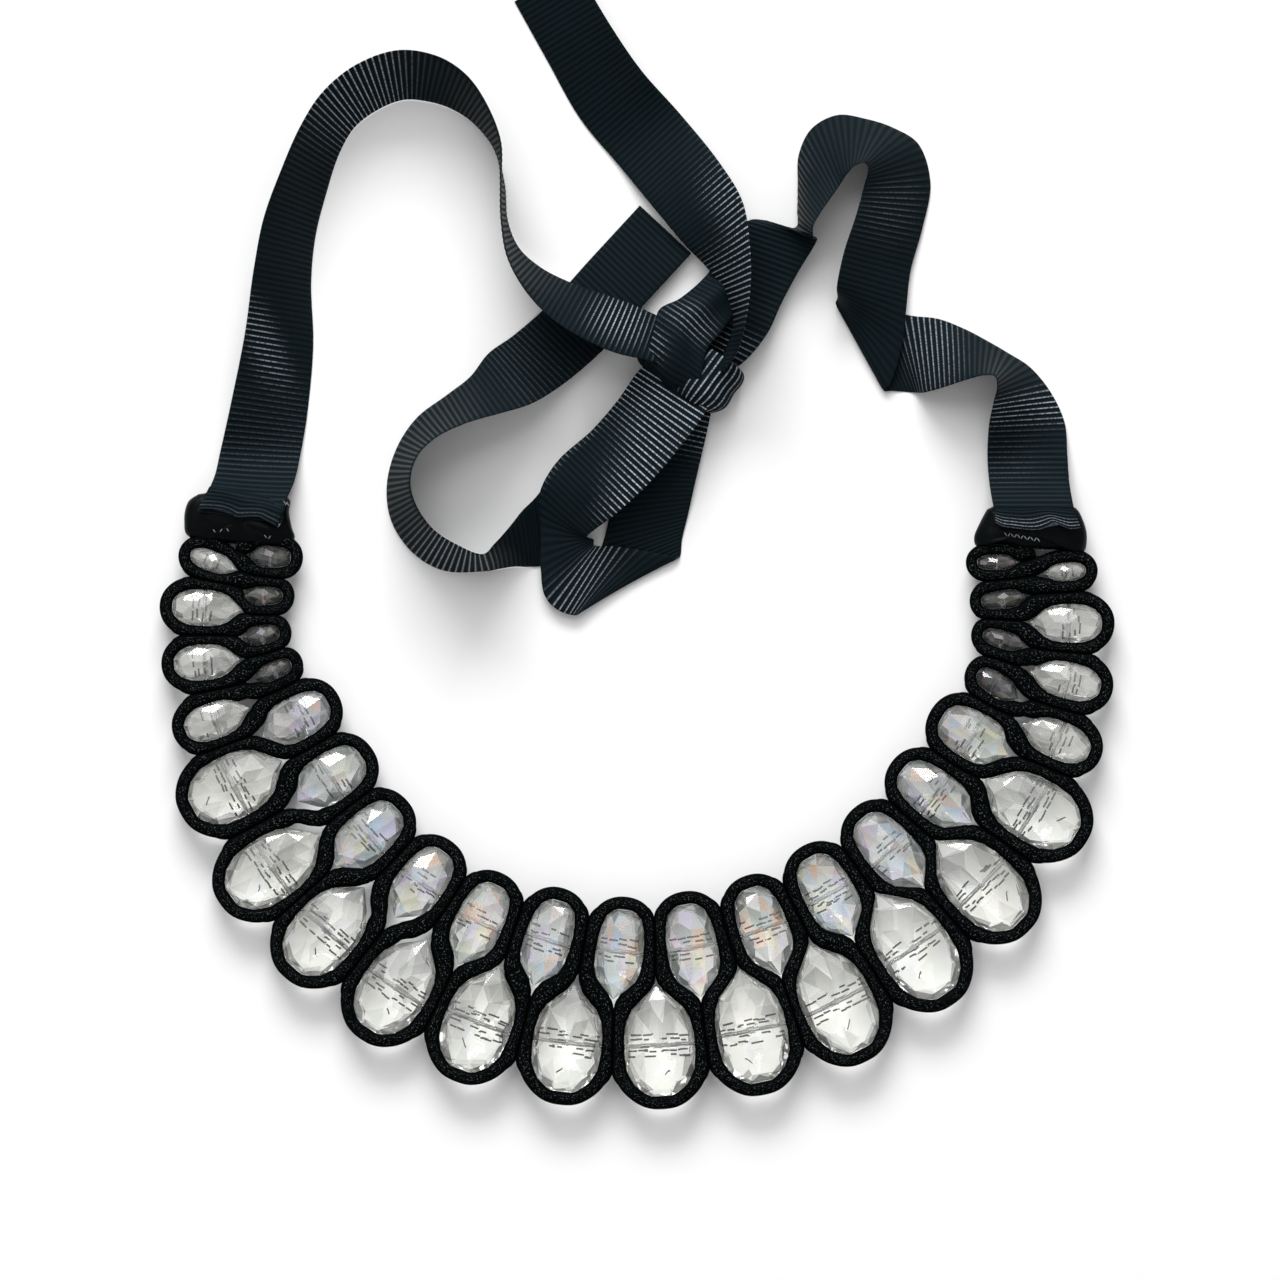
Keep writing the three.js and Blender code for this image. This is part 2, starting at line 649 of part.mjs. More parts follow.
function addBeads(beads, prefix, finish) {
  beads.forEach((bead, i) => {
    const mesh = add(`${prefix}_${String(i + 1).padStart(2, '0')}`, beadGeometry(bead), finish);
    mesh.position.set(bead.middle.x, bead.middle.y, BEAD_PLANE);
    mesh.rotation.z = Math.atan2(bead.along.y, bead.along.x);
  });
}

addBeads(outerBeads, 'outer_bead', 'clear');
addBeads(innerBeads, 'inner_bead', 'iridescent');

const stations = thin(layCord(), radians(SECTION_TURN), SECTION_RUN);
cordSections(stations).forEach((part, i) => add(`cord_${i + 1}`, cordGeometry(part), 'cord'));

// The gathered ends close over the cord where it runs in under them.
const cordRoom = toSolid(cordGeometry(stations, GAP));
for (const [side, size] of Object.entries(GATHERED_ENDS)) {
  add(`gathered_end_${side}`, fromSolid(toSolid(gatheredGeometry(size)).subtract(cordRoom)), 'gathered');
}

const knotRoom = toSolid(knotGeometry(GAP));
const intoKnot = (rows) => fromSolid(toSolid(ribbonGeometry(rows)).subtract(knotRoom));
add('knot', knotGeometry(), 'ribbon');
add('left_tie', intoKnot(LEFT_TIE), 'ribbon');
add('right_tie', intoKnot(RIGHT_TIE), 'ribbon');
add('short_tail', intoKnot(SHORT_TAIL), 'ribbon');
add('long_tail', intoKnot(LONG_TAIL), 'ribbon');
add('bow_loop', intoKnot(BOW_LOOP), 'ribbon');

// The origin is the middle of the necklace's box, at the level that it rests on.
const box = new THREE.Box3().setFromObject(necklace, true);
const centre = box.getCenter(new THREE.Vector3());
necklace.position.set(-centre.x, -centre.y, -box.min.z);

export default necklace;
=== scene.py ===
"""Looks of the crystal choker necklace: cut glass drops, napped cord and grosgrain ribbon.

Tables and routes are in millimetres in the necklace's drawing, and `place` turns them into metres in
the frame.
"""

import math
import random

import bmesh
import bpy
import numpy as np
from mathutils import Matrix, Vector


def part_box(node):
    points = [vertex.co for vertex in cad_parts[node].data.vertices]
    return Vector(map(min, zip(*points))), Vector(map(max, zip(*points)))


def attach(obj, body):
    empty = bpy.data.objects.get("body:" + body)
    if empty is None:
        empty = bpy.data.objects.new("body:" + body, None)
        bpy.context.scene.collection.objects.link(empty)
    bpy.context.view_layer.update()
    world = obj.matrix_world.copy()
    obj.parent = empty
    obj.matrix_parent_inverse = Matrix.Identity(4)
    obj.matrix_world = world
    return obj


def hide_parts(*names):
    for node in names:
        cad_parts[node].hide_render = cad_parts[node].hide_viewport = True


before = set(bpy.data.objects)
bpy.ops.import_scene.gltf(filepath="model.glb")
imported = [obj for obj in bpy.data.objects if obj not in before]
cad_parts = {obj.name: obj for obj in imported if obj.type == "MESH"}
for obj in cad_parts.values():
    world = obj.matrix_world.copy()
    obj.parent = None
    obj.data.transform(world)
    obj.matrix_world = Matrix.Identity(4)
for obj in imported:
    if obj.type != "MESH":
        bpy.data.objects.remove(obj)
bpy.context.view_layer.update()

# ---- sizes, in millimetres ----

GAP = 0.3                        # between the cord and a bead, or the next run of the cord
BEAD_PLANE = 4.8                 # height of the beads' and the cord's middle
DRILL = 1.1
DRILL_PLACE = 0.04               # of the length, from the bead's middle towards its wide end
THREAD = 0.42
THREAD_APART = 0.34              # each strand's place beside the hole's middle
CORD_WIDTH = 3.2
CORD_HEIGHT = 4.0
CORD_STEP = 1.5                  # between its points while it is laid, and in the mesh
CORD_FINE_STEP = 0.45
CORD_SIDES = 16
CORD_EASING = 14                 # rounds that round off its bends after laying
CORD_FREE = 1.58                 # half the cord's width on a side where nothing is near
CORD_SPREAD = 2.8                # and at most, where its nap reaches a bead or the next run
CORD_PRESSED = 0.8               # and at least
NAP_CLEAR = 0.04                 # left between the nap and a bead
NAP_TOUCH = 0.03                 # how far the naps of two runs press into each other
CORD_SQUARE = (0.62, 0.8)        # powers that square its round section, sideways and up
BRAID_PITCH = 1.7
BRAID_HEIGHT = 0.18
SAME_BEND = 9.0                  # points nearer than this along the cord aren't its next run
CORD_START = (-101.0, 23.6)
CORD_END = (98.4, 22.6)
DRAW_REACH = 3.0                 # the cord is drawn to what is nearer than this
PUSH_SHARE = {"bead": 0.5, "run": 0.12}
LAYING = [                       # rounds, ease, draw to beads, draw to the nearest run
    (40, 0.2, 0.12, 0.1),
    (40, 0.12, 0.1, 0.08),
    (12, 0.3, 0.06, 0.05),
]
RIBBON_WIDTH = 20.0
RIBBON_THICKNESS = 0.45
SELVEDGE = 0.04                  # how much of its width thins out to each edge
RIBBON_REST = 0.1                # room under a ribbon that lies on the surface, and under its ribs
RIBS_REST = 0.05
CROWN = 0.5                      # how far a ribbon's middle waves off the flat
RIB_PITCH = 1.4
RIB_HEIGHT = 0.12
RIB_STEPS = 8                    # rows of the mesh in each rib
HEM_RIBS = 6
HEM_COLUMNS = 48

# ---- beads: half outlines, and rows of x, y, heading, length, width, thickness ----

OUTER_OUTLINE = [
    (0.00, 0.00), (0.06, 0.22), (0.12, 0.43), (0.21, 0.72), (0.31, 0.89), (0.44, 0.98),
    (0.60, 1.00), (0.77, 0.95), (0.90, 0.74), (0.97, 0.48), (1.00, 0.30),
]
INNER_OUTLINE = [
    (0.00, 0.00), (0.06, 0.22), (0.12, 0.46), (0.22, 0.82), (0.34, 0.97), (0.50, 1.00),
    (0.66, 0.97), (0.80, 0.88), (0.92, 0.72), (0.98, 0.46), (1.00, 0.30),
]
OUTER_BEADS = [
    (-106.3, 19.5, 160, 12.3, 5.0, 5.5),
    (-108.0, 8.0, 177, 17.4, 9.0, 7.0),
    (-108.0, -5.5, 184, 16.5, 8.8, 7.0),
    (-105.5, -19.8, 200, 16.8, 9.0, 7.0),
    (-100.5, -36.0, 208, 25.2, 15.8, 9.6),
    (-91.0, -56.2, 215, 27.0, 16.0, 9.6),
    (-77.6, -71.7, 229, 26.7, 16.2, 9.6),
    (-60.4, -85.8, 236, 26.6, 16.6, 9.6),
    (-40.0, -94.4, 249, 27.1, 16.8, 9.6),
    (-18.0, -99.4, 263, 26.7, 17.2, 9.6),
    (4.8, -100.0, 273, 27.5, 17.6, 9.6),
    (27.6, -96.3, 281, 28.4, 17.6, 9.6),
    (48.6, -89.2, 296, 28.9, 17.6, 9.6),
    (67.7, -75.7, 305, 30.2, 17.6, 9.6),
    (84.4, -60.2, 316, 28.7, 17.0, 9.6),
    (97.4, -41.7, 329, 26.3, 16.0, 9.6),
    (103.6, -24.6, 337, 18.3, 9.4, 7.0),
    (106.1, -9.9, 346, 18.0, 9.0, 7.0),
    (106.3, 4.2, 359, 17.8, 9.6, 7.0),
    (106.0, 17.0, 5, 10.5, 4.5, 5.5),
]
INNER_BEADS = [
    (-92.5, 20.8, 357, 10.5, 5.4, 5.5),
    (-94.2, 11.0, 1, 9.8, 4.6, 5.0),
    (-94.8, 1.2, 10, 9.5, 4.8, 5.0),
    (-91.8, -7.8, 24, 10.0, 4.4, 5.0),
    (-86.2, -19.8, 28, 18.2, 10.8, 8.0),
    (-77.7, -34.6, 35, 19.5, 12.1, 8.0),
    (-68.5, -49.3, 43, 21.0, 12.0, 8.0),
    (-55.1, -61.2, 53, 20.5, 11.8, 8.0),
    (-40.5, -71.2, 64, 22.0, 11.8, 8.0),
    (-23.3, -75.8, 72, 22.2, 11.6, 8.0),
    (-5.2, -78.6, 82, 22.5, 11.8, 8.0),
    (13.2, -77.7, 100, 23.5, 12.6, 8.0),
    (31.2, -72.9, 110, 23.0, 12.2, 8.0),
    (47.7, -64.2, 119, 22.5, 12.6, 8.0),
    (63.1, -53.2, 132, 23.0, 12.4, 8.0),
    (74.3, -39.1, 142, 22.0, 12.0, 8.0),
    (83.7, -24.1, 150, 19.0, 12.0, 8.0),
    (89.5, -11.4, 146, 12.0, 5.8, 5.0),
    (91.0, 0.0, 163, 11.0, 4.4, 5.0),
    (91.0, 10.2, 187, 11.5, 4.6, 5.0),
    (89.4, 19.4, 180, 10.2, 3.8, 5.0),
]

# ---- ribbon: rows of x, y, low, across, tilt and, where it isn't the ribbon's width, span ----

LEFT_TIE = [
    (-99.9, 30.6, 8.6, -8, 0, 21.6),
    (-98.4, 35.0, 8.2, -6, 0),
    (-96.2, 40.5, 4.2, -3, 0),
    (-94.9, 46.5, 1.0, -3, -4),
    (-92.6, 58.0, 0, -8, -18),
    (-90.1, 75.0, 0, -9, -32),
    (-89.2, 91.0, 0, -10, -45),
    (-87.4, 103.0, 0, -17, -49),
    (-84.0, 114.0, 0, -24, -53),
    (-79.8, 124.8, 0, -35, -56),
    (-75.2, 132.2, 0, -48, -56),
    (-68.2, 137.8, 0, -66, -54),
    (-59.6, 140.9, 0, -85, -54),
    (-51.6, 139.9, 0, -104, -57),
    (-45.4, 136.8, 0, -118, -64),
    (-40.2, 131.6, 0, -133, -74),
    (-35.6, 123.5, 0, -160, -84),
    (-34.3, 114.0, 0, -174, -92),
    (-33.8, 104.5, 0.4, -166, -94),
    (-31.6, 96.6, 1.0, -137, -101),
    (-27.0, 90.4, 2.2, -127, -110),
    (-20.6, 85.2, 4.0, -119, -120),
    (-12.4, 81.0, 4.8, -117, -128),
    (-4.0, 77.6, 4.2, -112, -136, 18),
    (4.0, 75.0, 3.4, -108, -144, 14),
]
LEFT_TIE_TUCKED = [               # and on under the knot
    (10.0, 73.0, 2.8, -106, -156, 12),
]
RIGHT_TIE = [
    (99.0, 29.4, 8.6, -4, 0, 20.4),
    (98.0, 34.0, 8.2, 0, 0),
    (97.2, 39.5, 4.2, 0, 0),
    (96.8, 46.0, 1.0, 0, 4),
    (96.6, 54.0, 0, 3, -18),
    (95.4, 60.5, 0, 10, -42),
    (93.2, 65.6, 0, 30, -60),
    (90.2, 68.6, 0, 58, -69),
    (86.4, 70.2, 0, 80, -64),
    (81.6, 71.2, 0, 90, -51),
    (75.0, 71.6, 0, 93, -30),
    (69.6, 71.4, 0, 98, -14),
    (64.6, 72.2, 0.1, 110, 0, 22),
    (57.4, 73.4, 0.2, 117, 0, 25),
    (55.0, 73.2, 0.9, 119, 0, 25),
    (55.8, 74.4, 1.7, 122, 0, 25),
    (57.4, 79.6, 1.8, 143, 10, 20.6),
    (57.8, 85.4, 1.7, 162, 24),
    (59.2, 94.4, 1.2, 166, 30),
    (62.2, 104.4, 0.6, 171, 32),
    (64.2, 113.6, 0, 184, 33),
    (63.2, 120.6, 0, 208, 44),
    (59.6, 123.4, 0, 232, 54),
    (55.2, 124.2, 0, 256, 52),
    (50.4, 123.6, 0, 278, 40),
    (46.2, 120.4, 0, 294, 36),
    (43.4, 115.4, 0, 302, 46),
    (42.0, 110.0, 0, 300, 60),
    (41.2, 105.2, 0, 305, 72),
    (41.0, 101.8, 0, 325, 76),
    (35.8, 102.2, 0, 341, 24, 19),
    (30.4, 95.4, 0, 340, 12),
    (26.2, 87.8, 0, 338, 10),
    (23.0, 80.6, 0, 336, 14),
    (19.4, 74.0, 0.4, 332, 14, 17),
    (16.0, 69.0, 1.0, 328, 10, 12),
]
SHORT_TAIL = [
    (6.4, 102.6, 0, 137, -8, 17.8),
    (-5.6, 89.6, 0, 136, -8, 17.8),
    (-16.4, 77.8, 0, 136, -8, 17.8),
    (-25.4, 70.0, 0, 136, -14, 18),
    (-32.6, 65.2, 0, 130, -34),
    (-39.0, 61.0, 0, 126, -54),
    (-45.8, 57.6, 0, 122, -64),
    (-53.4, 52.8, 0, 134, -69),
    (-58.2, 46.6, 0, 160, -73),
    (-60.2, 38.8, 0, 188, -72),
    (-58.8, 31.4, 0, 212, -68),
    (-54.0, 24.6, 0, 230, -67),
    (-47.4, 20.6, 0, 244, -69),
    (-38.6, 19.3, 0, 285, -78),
    (-35.4, 21.0, 0, 281, -68, 17),
    (-32.0, 23.1, 0, 279, -52, 15.5),
    (-28.6, 25.2, 0, 277, -30, 16),
    (-25.2, 27.2, 0, 276, -4, 17),
    (-16.4, 35.8, 0, 310, 0, 15.5),
    (-9.0, 43.0, 0, 316, 0, 16),
    (-2.0, 51.0, 0, 322, 0, 16),
    (5.0, 61.0, 0, 326, 0, 14),
]
LONG_TAIL = [
    (19.0, 67.0, 5.0, 0, 60, 8),
    (22.6, 72.0, 4.6, 4, 74, 12),
    (24.8, 79.4, 4.2, 12, 80, 18),
    (24.2, 87.6, 3.4, 18, 70),
    (22.2, 95.2, 3.2, 28, 55),
    (18.6, 103.6, 4.2, 38, 28),
    (12.4, 112.6, 3.4, 42, 8),
    (2.6, 124.8, 0.6, 43, 0),
    (-7.4, 136.4, 0, 38, 15),
    (-15.6, 149.6, 0, 31, 27),
    (-23.8, 164.0, 0, 30, 29),
]
BOW_LOOP = [
    (11.0, 66.0, 7.0, 148, 0, 18),
    (7.4, 61.2, 5.6, 147, -10),
    (2.4, 54.2, 5.6, 142, -13),
    (-4.8, 45.8, 5.6, 137, -13),
    (-13.0, 38.4, 5.4, 135, -10),
    (-17.6, 33.6, 5.6, 136, 0, 17.5),
    (-19.2, 30.8, 4.4, 141, 0, 15.5),
    (-18.8, 26.8, 2.8, 168, 0, 12.5),
    (-18.2, 21.6, 2.2, 208, 0, 15),
    (-17.7, 17.4, 2.0, 226, 0, 17.6),
    (-15.6, 15.6, 1.9, 236, 0, 19),
    (-12.2, 14.9, 1.8, 238, 0, 20.2),
    (-8.8, 14.5, 1.8, 230, 0, 21.6),
    (-4.4, 14.1, 1.6, 215, 0, 25.2),
    (-2.6, 13.9, 0.8, 209, 0, 27.6),
    (-2.0, 14.7, 0, 208, 0, 27.4),
    (-1.0, 20.2, 0, 203, 0, 25),
    (1.6, 28.6, 0.4, 192, 0, 21),
    (3.4, 37.6, 1.5, 180, 0),
    (5.0, 45.6, 1.6, 170, 0),
    (7.0, 54.2, 1.8, 166, 0),
    (10.0, 64.0, 3.0, 165, 0, 18),
]

# The knot: one gathered band under, and one wrapped over it.
KNOT_UNDER = [
    (21.4, 88.2, 2.4, 138, 0, 11),
    (18.6, 84.6, 5.6, 138, 0, 12),
    (14.8, 80.6, 8.4, 138, 0, 13.5),
    (10.8, 77.4, 10.0, 140, 0, 15.6),
    (9.6, 72.6, 10.8, 143, 0, 15.4),
    (8.6, 68.6, 10.4, 146, 0, 15.4),
    (7.8, 65.6, 8.6, 147, 0, 15.4),
    (7.6, 64.6, 5.4, 147, 0, 15),
    (8.2, 66.0, 2.4, 147, 0, 14),
]
KNOT_WRAP = [
    (2.2, 74.6, 0.8, -122, 0, 11),
    (3.4, 73.8, 3.0, -122, 0, 12),
    (8.0, 71.0, 5.6, -122, 0, 13),
    (12.8, 67.8, 8.2, -124, 0, 13.6),
    (17.4, 64.6, 8.8, -127, 0, 14),
    (20.6, 62.3, 6.8, -129, 0, 13.6),
    (21.6, 61.6, 3.6, -129, 0, 12.6),
    (20.0, 62.8, 1.0, -129, 0, 11.6),
]

# Where a ribbon's ribs get painted highlights, glints that stand in for light on their crests: row, place
# across, how far along (in rows) and across, how much, and how far across it moves from row to row.
PAINTED_RIB_GLINTS = {
    "left_tie": [(10.7, 0.5, 1.4, 3, 1.0, 0), (4.95, 0.25, 0.55, 0.24, 0.7, -0.5),
                 (3.3, 0.5, 1.0, 2, 0.08, 0), (22.8, 0.62, 0.8, 0.4, 0.9, 0),
                 (24.4, 0.5, 0.4, 0.4, 0.6, 0)],
    "right_tie": [(4.6, 0.5, 0.6, 3, 0.7, 0), (3.0, 0.2, 1.2, 0.4, 0.1, 0), (10.5, 0.6, 1.2, 0.7, 0.52, 0),
                  (19.4, 0.55, 0.8, 0.4, 0.14, 0), (26.5, 0.1, 1.2, 0.3, 0.1, 0),
                  (33.9, 0.6, 0.6, 0.5, 0.6, 0)],
    "short_tail": [(12.1, 0.5, 1.3, 3, 0.75, 0), (7.5, 0.5, 2.0, 3, 0.05, 0),
                   (3.4, 0.5, 1.0, 3, 0.06, 0)],
    "long_tail": [(3.2, 0.5, 1.1, 1.0, 0.8, 0), (5.0, 0.9, 0.9, 0.3, 0.7, 0)],
    "bow_loop": [(0.9, 0.5, 1.4, 3, 0.85, 0), (2.9, 0.2, 0.9, 0.34, 0.85, -0.2),
                 (3.9, 0.06, 0.7, 0.14, 0.6, 0), (3.2, 0.98, 2.0, 0.03, 0.3, 0),
                 (10.4, 0.5, 1.3, 3, 0.6, 0), (20.2, 0.5, 0.8, 3, 0.6, 0)],
    "knot_under": [(2.5, 0.5, 0.7, 0.4, 0.5, 0), (4.6, 0.9, 0.8, 0.2, 0.5, 0)],
    "knot_wrap": [(4.3, 0.5, 1.1, 3, 0.9, 0)],
    "hem_left": [(0.85, 0.5, 0.2, 3, 0.12, 0)],
    "hem_right": [(0.75, 0.5, 0.3, 3, 0.5, 0)],
}

# Hems and gathered ends: edges and outlines in plan.
HEM_LEFT = {
    "top_edge": [(-107.4, 38.2), (-102.0, 37.4), (-95.0, 36.2), (-87.6, 34.8)],
    "low_edge": [(-110.2, 32.8), (-108.0, 32.8), (-104.5, 32.5), (-102.2, 31.7), (-100.6, 30.7),
                 (-97.6, 30.8), (-94.8, 30.7), (-93.0, 29.7), (-90.6, 28.4)],
}
HEM_RIGHT = {
    "top_edge": [(88.4, 32.9), (94.0, 32.6), (101.0, 32.9), (108.4, 32.4)],
    "low_edge": [(88.6, 29.4), (90.2, 28.4), (93.6, 27.9), (97.0, 27.5), (99.7, 27.6), (101.7, 28.4),
                 (103.3, 29.2), (105.1, 28.5), (107.2, 27.7), (109.9, 28.0)],
}
GATHERED_LEFT = [
    (-110.3, 36.4), (-112.6, 34.8), (-113.6, 32.3), (-113.8, 29.5), (-113.4, 26.6), (-111.0, 25.0),
    (-106.0, 24.6), (-99.0, 23.8), (-93.0, 23.8), (-88.0, 23.8), (-86.2, 25.4), (-87.0, 28.4),
    (-87.6, 32.0), (-87.4, 35.0), (-92.5, 36.8), (-102.5, 37.6),
]
GATHERED_RIGHT = [
    (86.6, 32.6), (84.9, 29.4), (83.4, 25.6), (84.0, 23.4), (90.0, 24.0), (96.0, 22.8), (101.0, 22.6),
    (106.0, 22.4), (110.6, 21.8), (111.6, 25.4), (110.6, 30.0), (108.4, 33.2), (98.0, 34.0), (90.0, 34.0),
]
STITCH_THICKNESS = 0.3
STITCHES = [                     # rows: start, end, how many, their length and their height
    ((91.2, 26.4), (99.4, 24.9), 11, 1.1, 8.75),
    ((95.0, 22.9), (100.4, 22.4), 6, 0.8, 6.3),
    # the four rows on the left end are short light threads set where its raw edges glint, partly thread and
    # partly painted glint
    ((-106.2, 27.2), (-102.8, 27.4), 3, 1.0, 8.6),
    ((-93.4, 25.8), (-92.4, 25.6), 2, 1.0, 8.0),
    ((-88.6, 34.2), (-87.8, 33.8), 3, 1.2, 8.6),
    ((-91.2, 31.0), (-90.0, 28.6), 4, 1.2, 8.9),
]
BUNDLE_FOOT = 1.6                # the gathered ends' lowest point, and how high they stand above it
BUNDLE_HEIGHT = 6.6
BUNDLE_SIDES = 96
BUNDLE_LEVELS = 13
PLEATS = 0.62                    # folds of a gathered end, in radians a millimetre
HEM_CLEAR = 0.3                  # between a hem and the tie under it
HEM_WAVE = 0.35

# ---- plan geometry ----

def direction(degrees):
    return np.array([math.cos(math.radians(degrees)), math.sin(math.radians(degrees))])


class Bead:
    """One drop: along is its length's direction from the narrow end, and ahead its width's, towards
    the next bead on the cord."""

    def __init__(self, row, outline, turn):
        x, y, heading, self.length, self.width, self.thickness = row
        self.middle = np.array([x, y])
        self.along = direction(heading)
        self.ahead = direction(heading + turn)
        self.half_outline = outline

    def at(self, along, across):
        """A spot in plan: along from 0 to 1, and across from -1 to 1."""
        return (self.middle + self.along * (along - 0.5) * self.length
                + self.ahead * across * self.width / 2)

    def outline(self):
        front = [self.at(a, w) for a, w in self.half_outline]
        back = [self.at(a, -w) for a, w in reversed(self.half_outline[1:])]
        return np.array(front + back)


outer_beads = [Bead(row, OUTER_OUTLINE, 90) for row in OUTER_BEADS]
inner_beads = [Bead(row, INNER_OUTLINE, -90) for row in INNER_BEADS]
threaded = [bead for pair in zip(inner_beads, outer_beads) for bead in pair] + inner_beads[-1:]

# The drawing's place in the frame, from a bead whose corner is known in both.
known_low = outer_beads[10].outline().min(axis=0)
frame_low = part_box("outer_bead_11")[0]
SHIFT = np.append(np.array(frame_low[:2]) * 1000 - known_low, 0.0)


def place(points):
    """Drawing millimetres to metres in the frame."""
    return (np.asarray(points, dtype=float) + SHIFT) / 1000


def spline(points, t):
    """Centripetal Catmull-Rom curve through the points, at t counted in points."""
    points = np.asarray(points, dtype=float)
    t = np.asarray(t, dtype=float)
    last = len(points) - 1
    i = np.clip(np.floor(t).astype(int), 0, last - 1)
    w = (t - i)[:, None]
    ends = np.vstack([2 * points[0] - points[1], points, 2 * points[-1] - points[-2]])
    p0, p1, p2, p3 = (ends[i + k] for k in range(4))
    d0, d1, d2 = (np.maximum(((b - a) ** 2).sum(axis=1) ** 0.25, 1e-4)[:, None]
                  for a, b in ((p0, p1), (p1, p2), (p2, p3)))
    m1 = d1 * ((p1 - p0) / d0 - (p2 - p0) / (d0 + d1) + (p2 - p1) / d1)
    m2 = d1 * ((p2 - p1) / d1 - (p3 - p1) / (d1 + d2) + (p3 - p2) / d2)
    return p1 + w * (m1 + w * (-3 * p1 + 3 * p2 - 2 * m1 - m2 + w * (2 * p1 - 2 * p2 + m1 + m2)))


def run_of(points):
    """Distance along a line at each of its points."""
    return np.concatenate([[0], np.cumsum(np.linalg.norm(np.diff(points, axis=0), axis=1))])


def resample(points, step):
    """Evenly spaced points on the curve through the points."""
    places = np.linspace(0, len(points) - 1, len(points) * 12 + 1)
    run = run_of(spline(points, places))
    count = round(run[-1] / step)
    return spline(points, np.interp(np.linspace(0, run[-1], count + 1), run, places))


# ---- laying the cord ----

outlines = np.array([bead.outline() for bead in threaded])
edge_from = np.roll(outlines, 1, axis=1)
edge = outlines - edge_from
edge_square = (edge ** 2).sum(axis=2)
bead_middles = np.array([bead.middle for bead in threaded])
bead_lengths = np.array([bead.length for bead in threaded])


def near_beads(points):
    """For each point and bead that are near each other: the point's number, the nearest spot on the
    bead's outline, and the distance to it, negative inside."""
    i, k = np.nonzero(np.linalg.norm(points[:, None] - bead_middles, axis=2) <= bead_lengths)
    p, start, side = points[i][:, None, :], edge_from[k], edge[k]
    t = np.clip(((p - start) * side).sum(axis=2) / edge_square[k], 0, 1)
    spots = start + t[..., None] * side
    distances = np.linalg.norm(spots - p, axis=2)
    best = distances.argmin(axis=1)
    rows = np.arange(len(i))
    rise = np.where(side[..., 1] == 0, 1, side[..., 1])
    straddles = (start[..., 1] > p[..., 1]) != (outlines[k][..., 1] > p[..., 1])
    crosses = straddles & (p[..., 0] < start[..., 0] + (p[..., 1] - start[..., 1]) * side[..., 0] / rise)
    inside = crosses.sum(axis=1) % 2 == 1
    distance = distances[rows, best]
    return i, spots[rows, best], np.where(inside, -distance, distance)


def run_distances(points):
    """Distances between the cord's points, with those on the same bend left out as far."""
    apart = math.ceil(SAME_BEND / CORD_STEP)
    distance = np.linalg.norm(points[:, None] - points[None], axis=2)
    index = np.arange(len(points))
    distance[np.abs(index[:, None] - index[None]) < apart] = np.inf
    return distance


def unit(vectors):
    return vectors / np.maximum(np.linalg.norm(vectors, axis=-1), 1e-9)[..., None]


def settle(line, rounds, ease, draw_bead, draw_run):
    """Keeps the line clear of beads and of itself, draws it against what is near, and smooths it."""
    room = CORD_WIDTH + GAP
    index = np.arange(len(line))
    for _ in range(rounds):
        i, spot, distance = near_beads(line)
        short = CORD_WIDTH / 2 + GAP - distance
        share = np.where(short > 0, PUSH_SHARE["bead"], np.where(short > -DRAW_REACH, draw_bead, 0))
        away = unit(line[i] - spot) * np.sign(distance)[:, None]
        moved = line.copy()
        np.add.at(moved, i, away * (short * share)[:, None])
        distance = run_distances(line)
        a, b = np.nonzero(distance < room)
        push = PUSH_SHARE["run"] * (room - distance[a, b])
        np.add.at(moved, a, unit(line[a] - line[b]) * push[:, None])
        nearest = distance.argmin(axis=1)
        gap = distance[index, nearest] - room
        pull = np.where((gap > 0) & (gap < DRAW_REACH), draw_run * np.minimum(gap, DRAW_REACH), 0)
        moved += unit(line[nearest] - line) * pull[:, None]
        eased = moved.copy()
        eased[1:-1] += ease * ((line[:-2] + line[2:]) / 2 - moved[1:-1])
        eased[0], eased[-1] = line[0], line[-1]
        line = eased
    return line


def guide_points(bead):
    """Points down one side of a bead, round its wide end and up the other side."""
    offset = CORD_WIDTH / 2 + GAP

    def side(sign):
        found = []
        for along, wide in bead.half_outline:
            if along > 0.4:
                lean = math.radians(90 * min(max((along - 0.6) / 0.4, 0), 1))
                found.append(bead.at(along, sign * wide) + bead.ahead * sign * offset * math.cos(lean)
                             + bead.along * offset * math.sin(lean))
        return found

    return side(-1) + side(1)[::-1]


def lay_cord():
    """The cord's middle line, finely spaced."""
    guides = [np.array(CORD_START)]
    for bead in threaded:
        guides += guide_points(bead)
    guides.append(np.array(CORD_END))
    line = np.array(guides)
    for stage in LAYING:
        line = settle(resample(line, CORD_STEP), *stage)
    line = resample(line, CORD_FINE_STEP)
    for _ in range(CORD_EASING):
        line[1:-1] += 0.5 * ((line[:-2] + line[2:]) / 2 - line[1:-1])
    return line


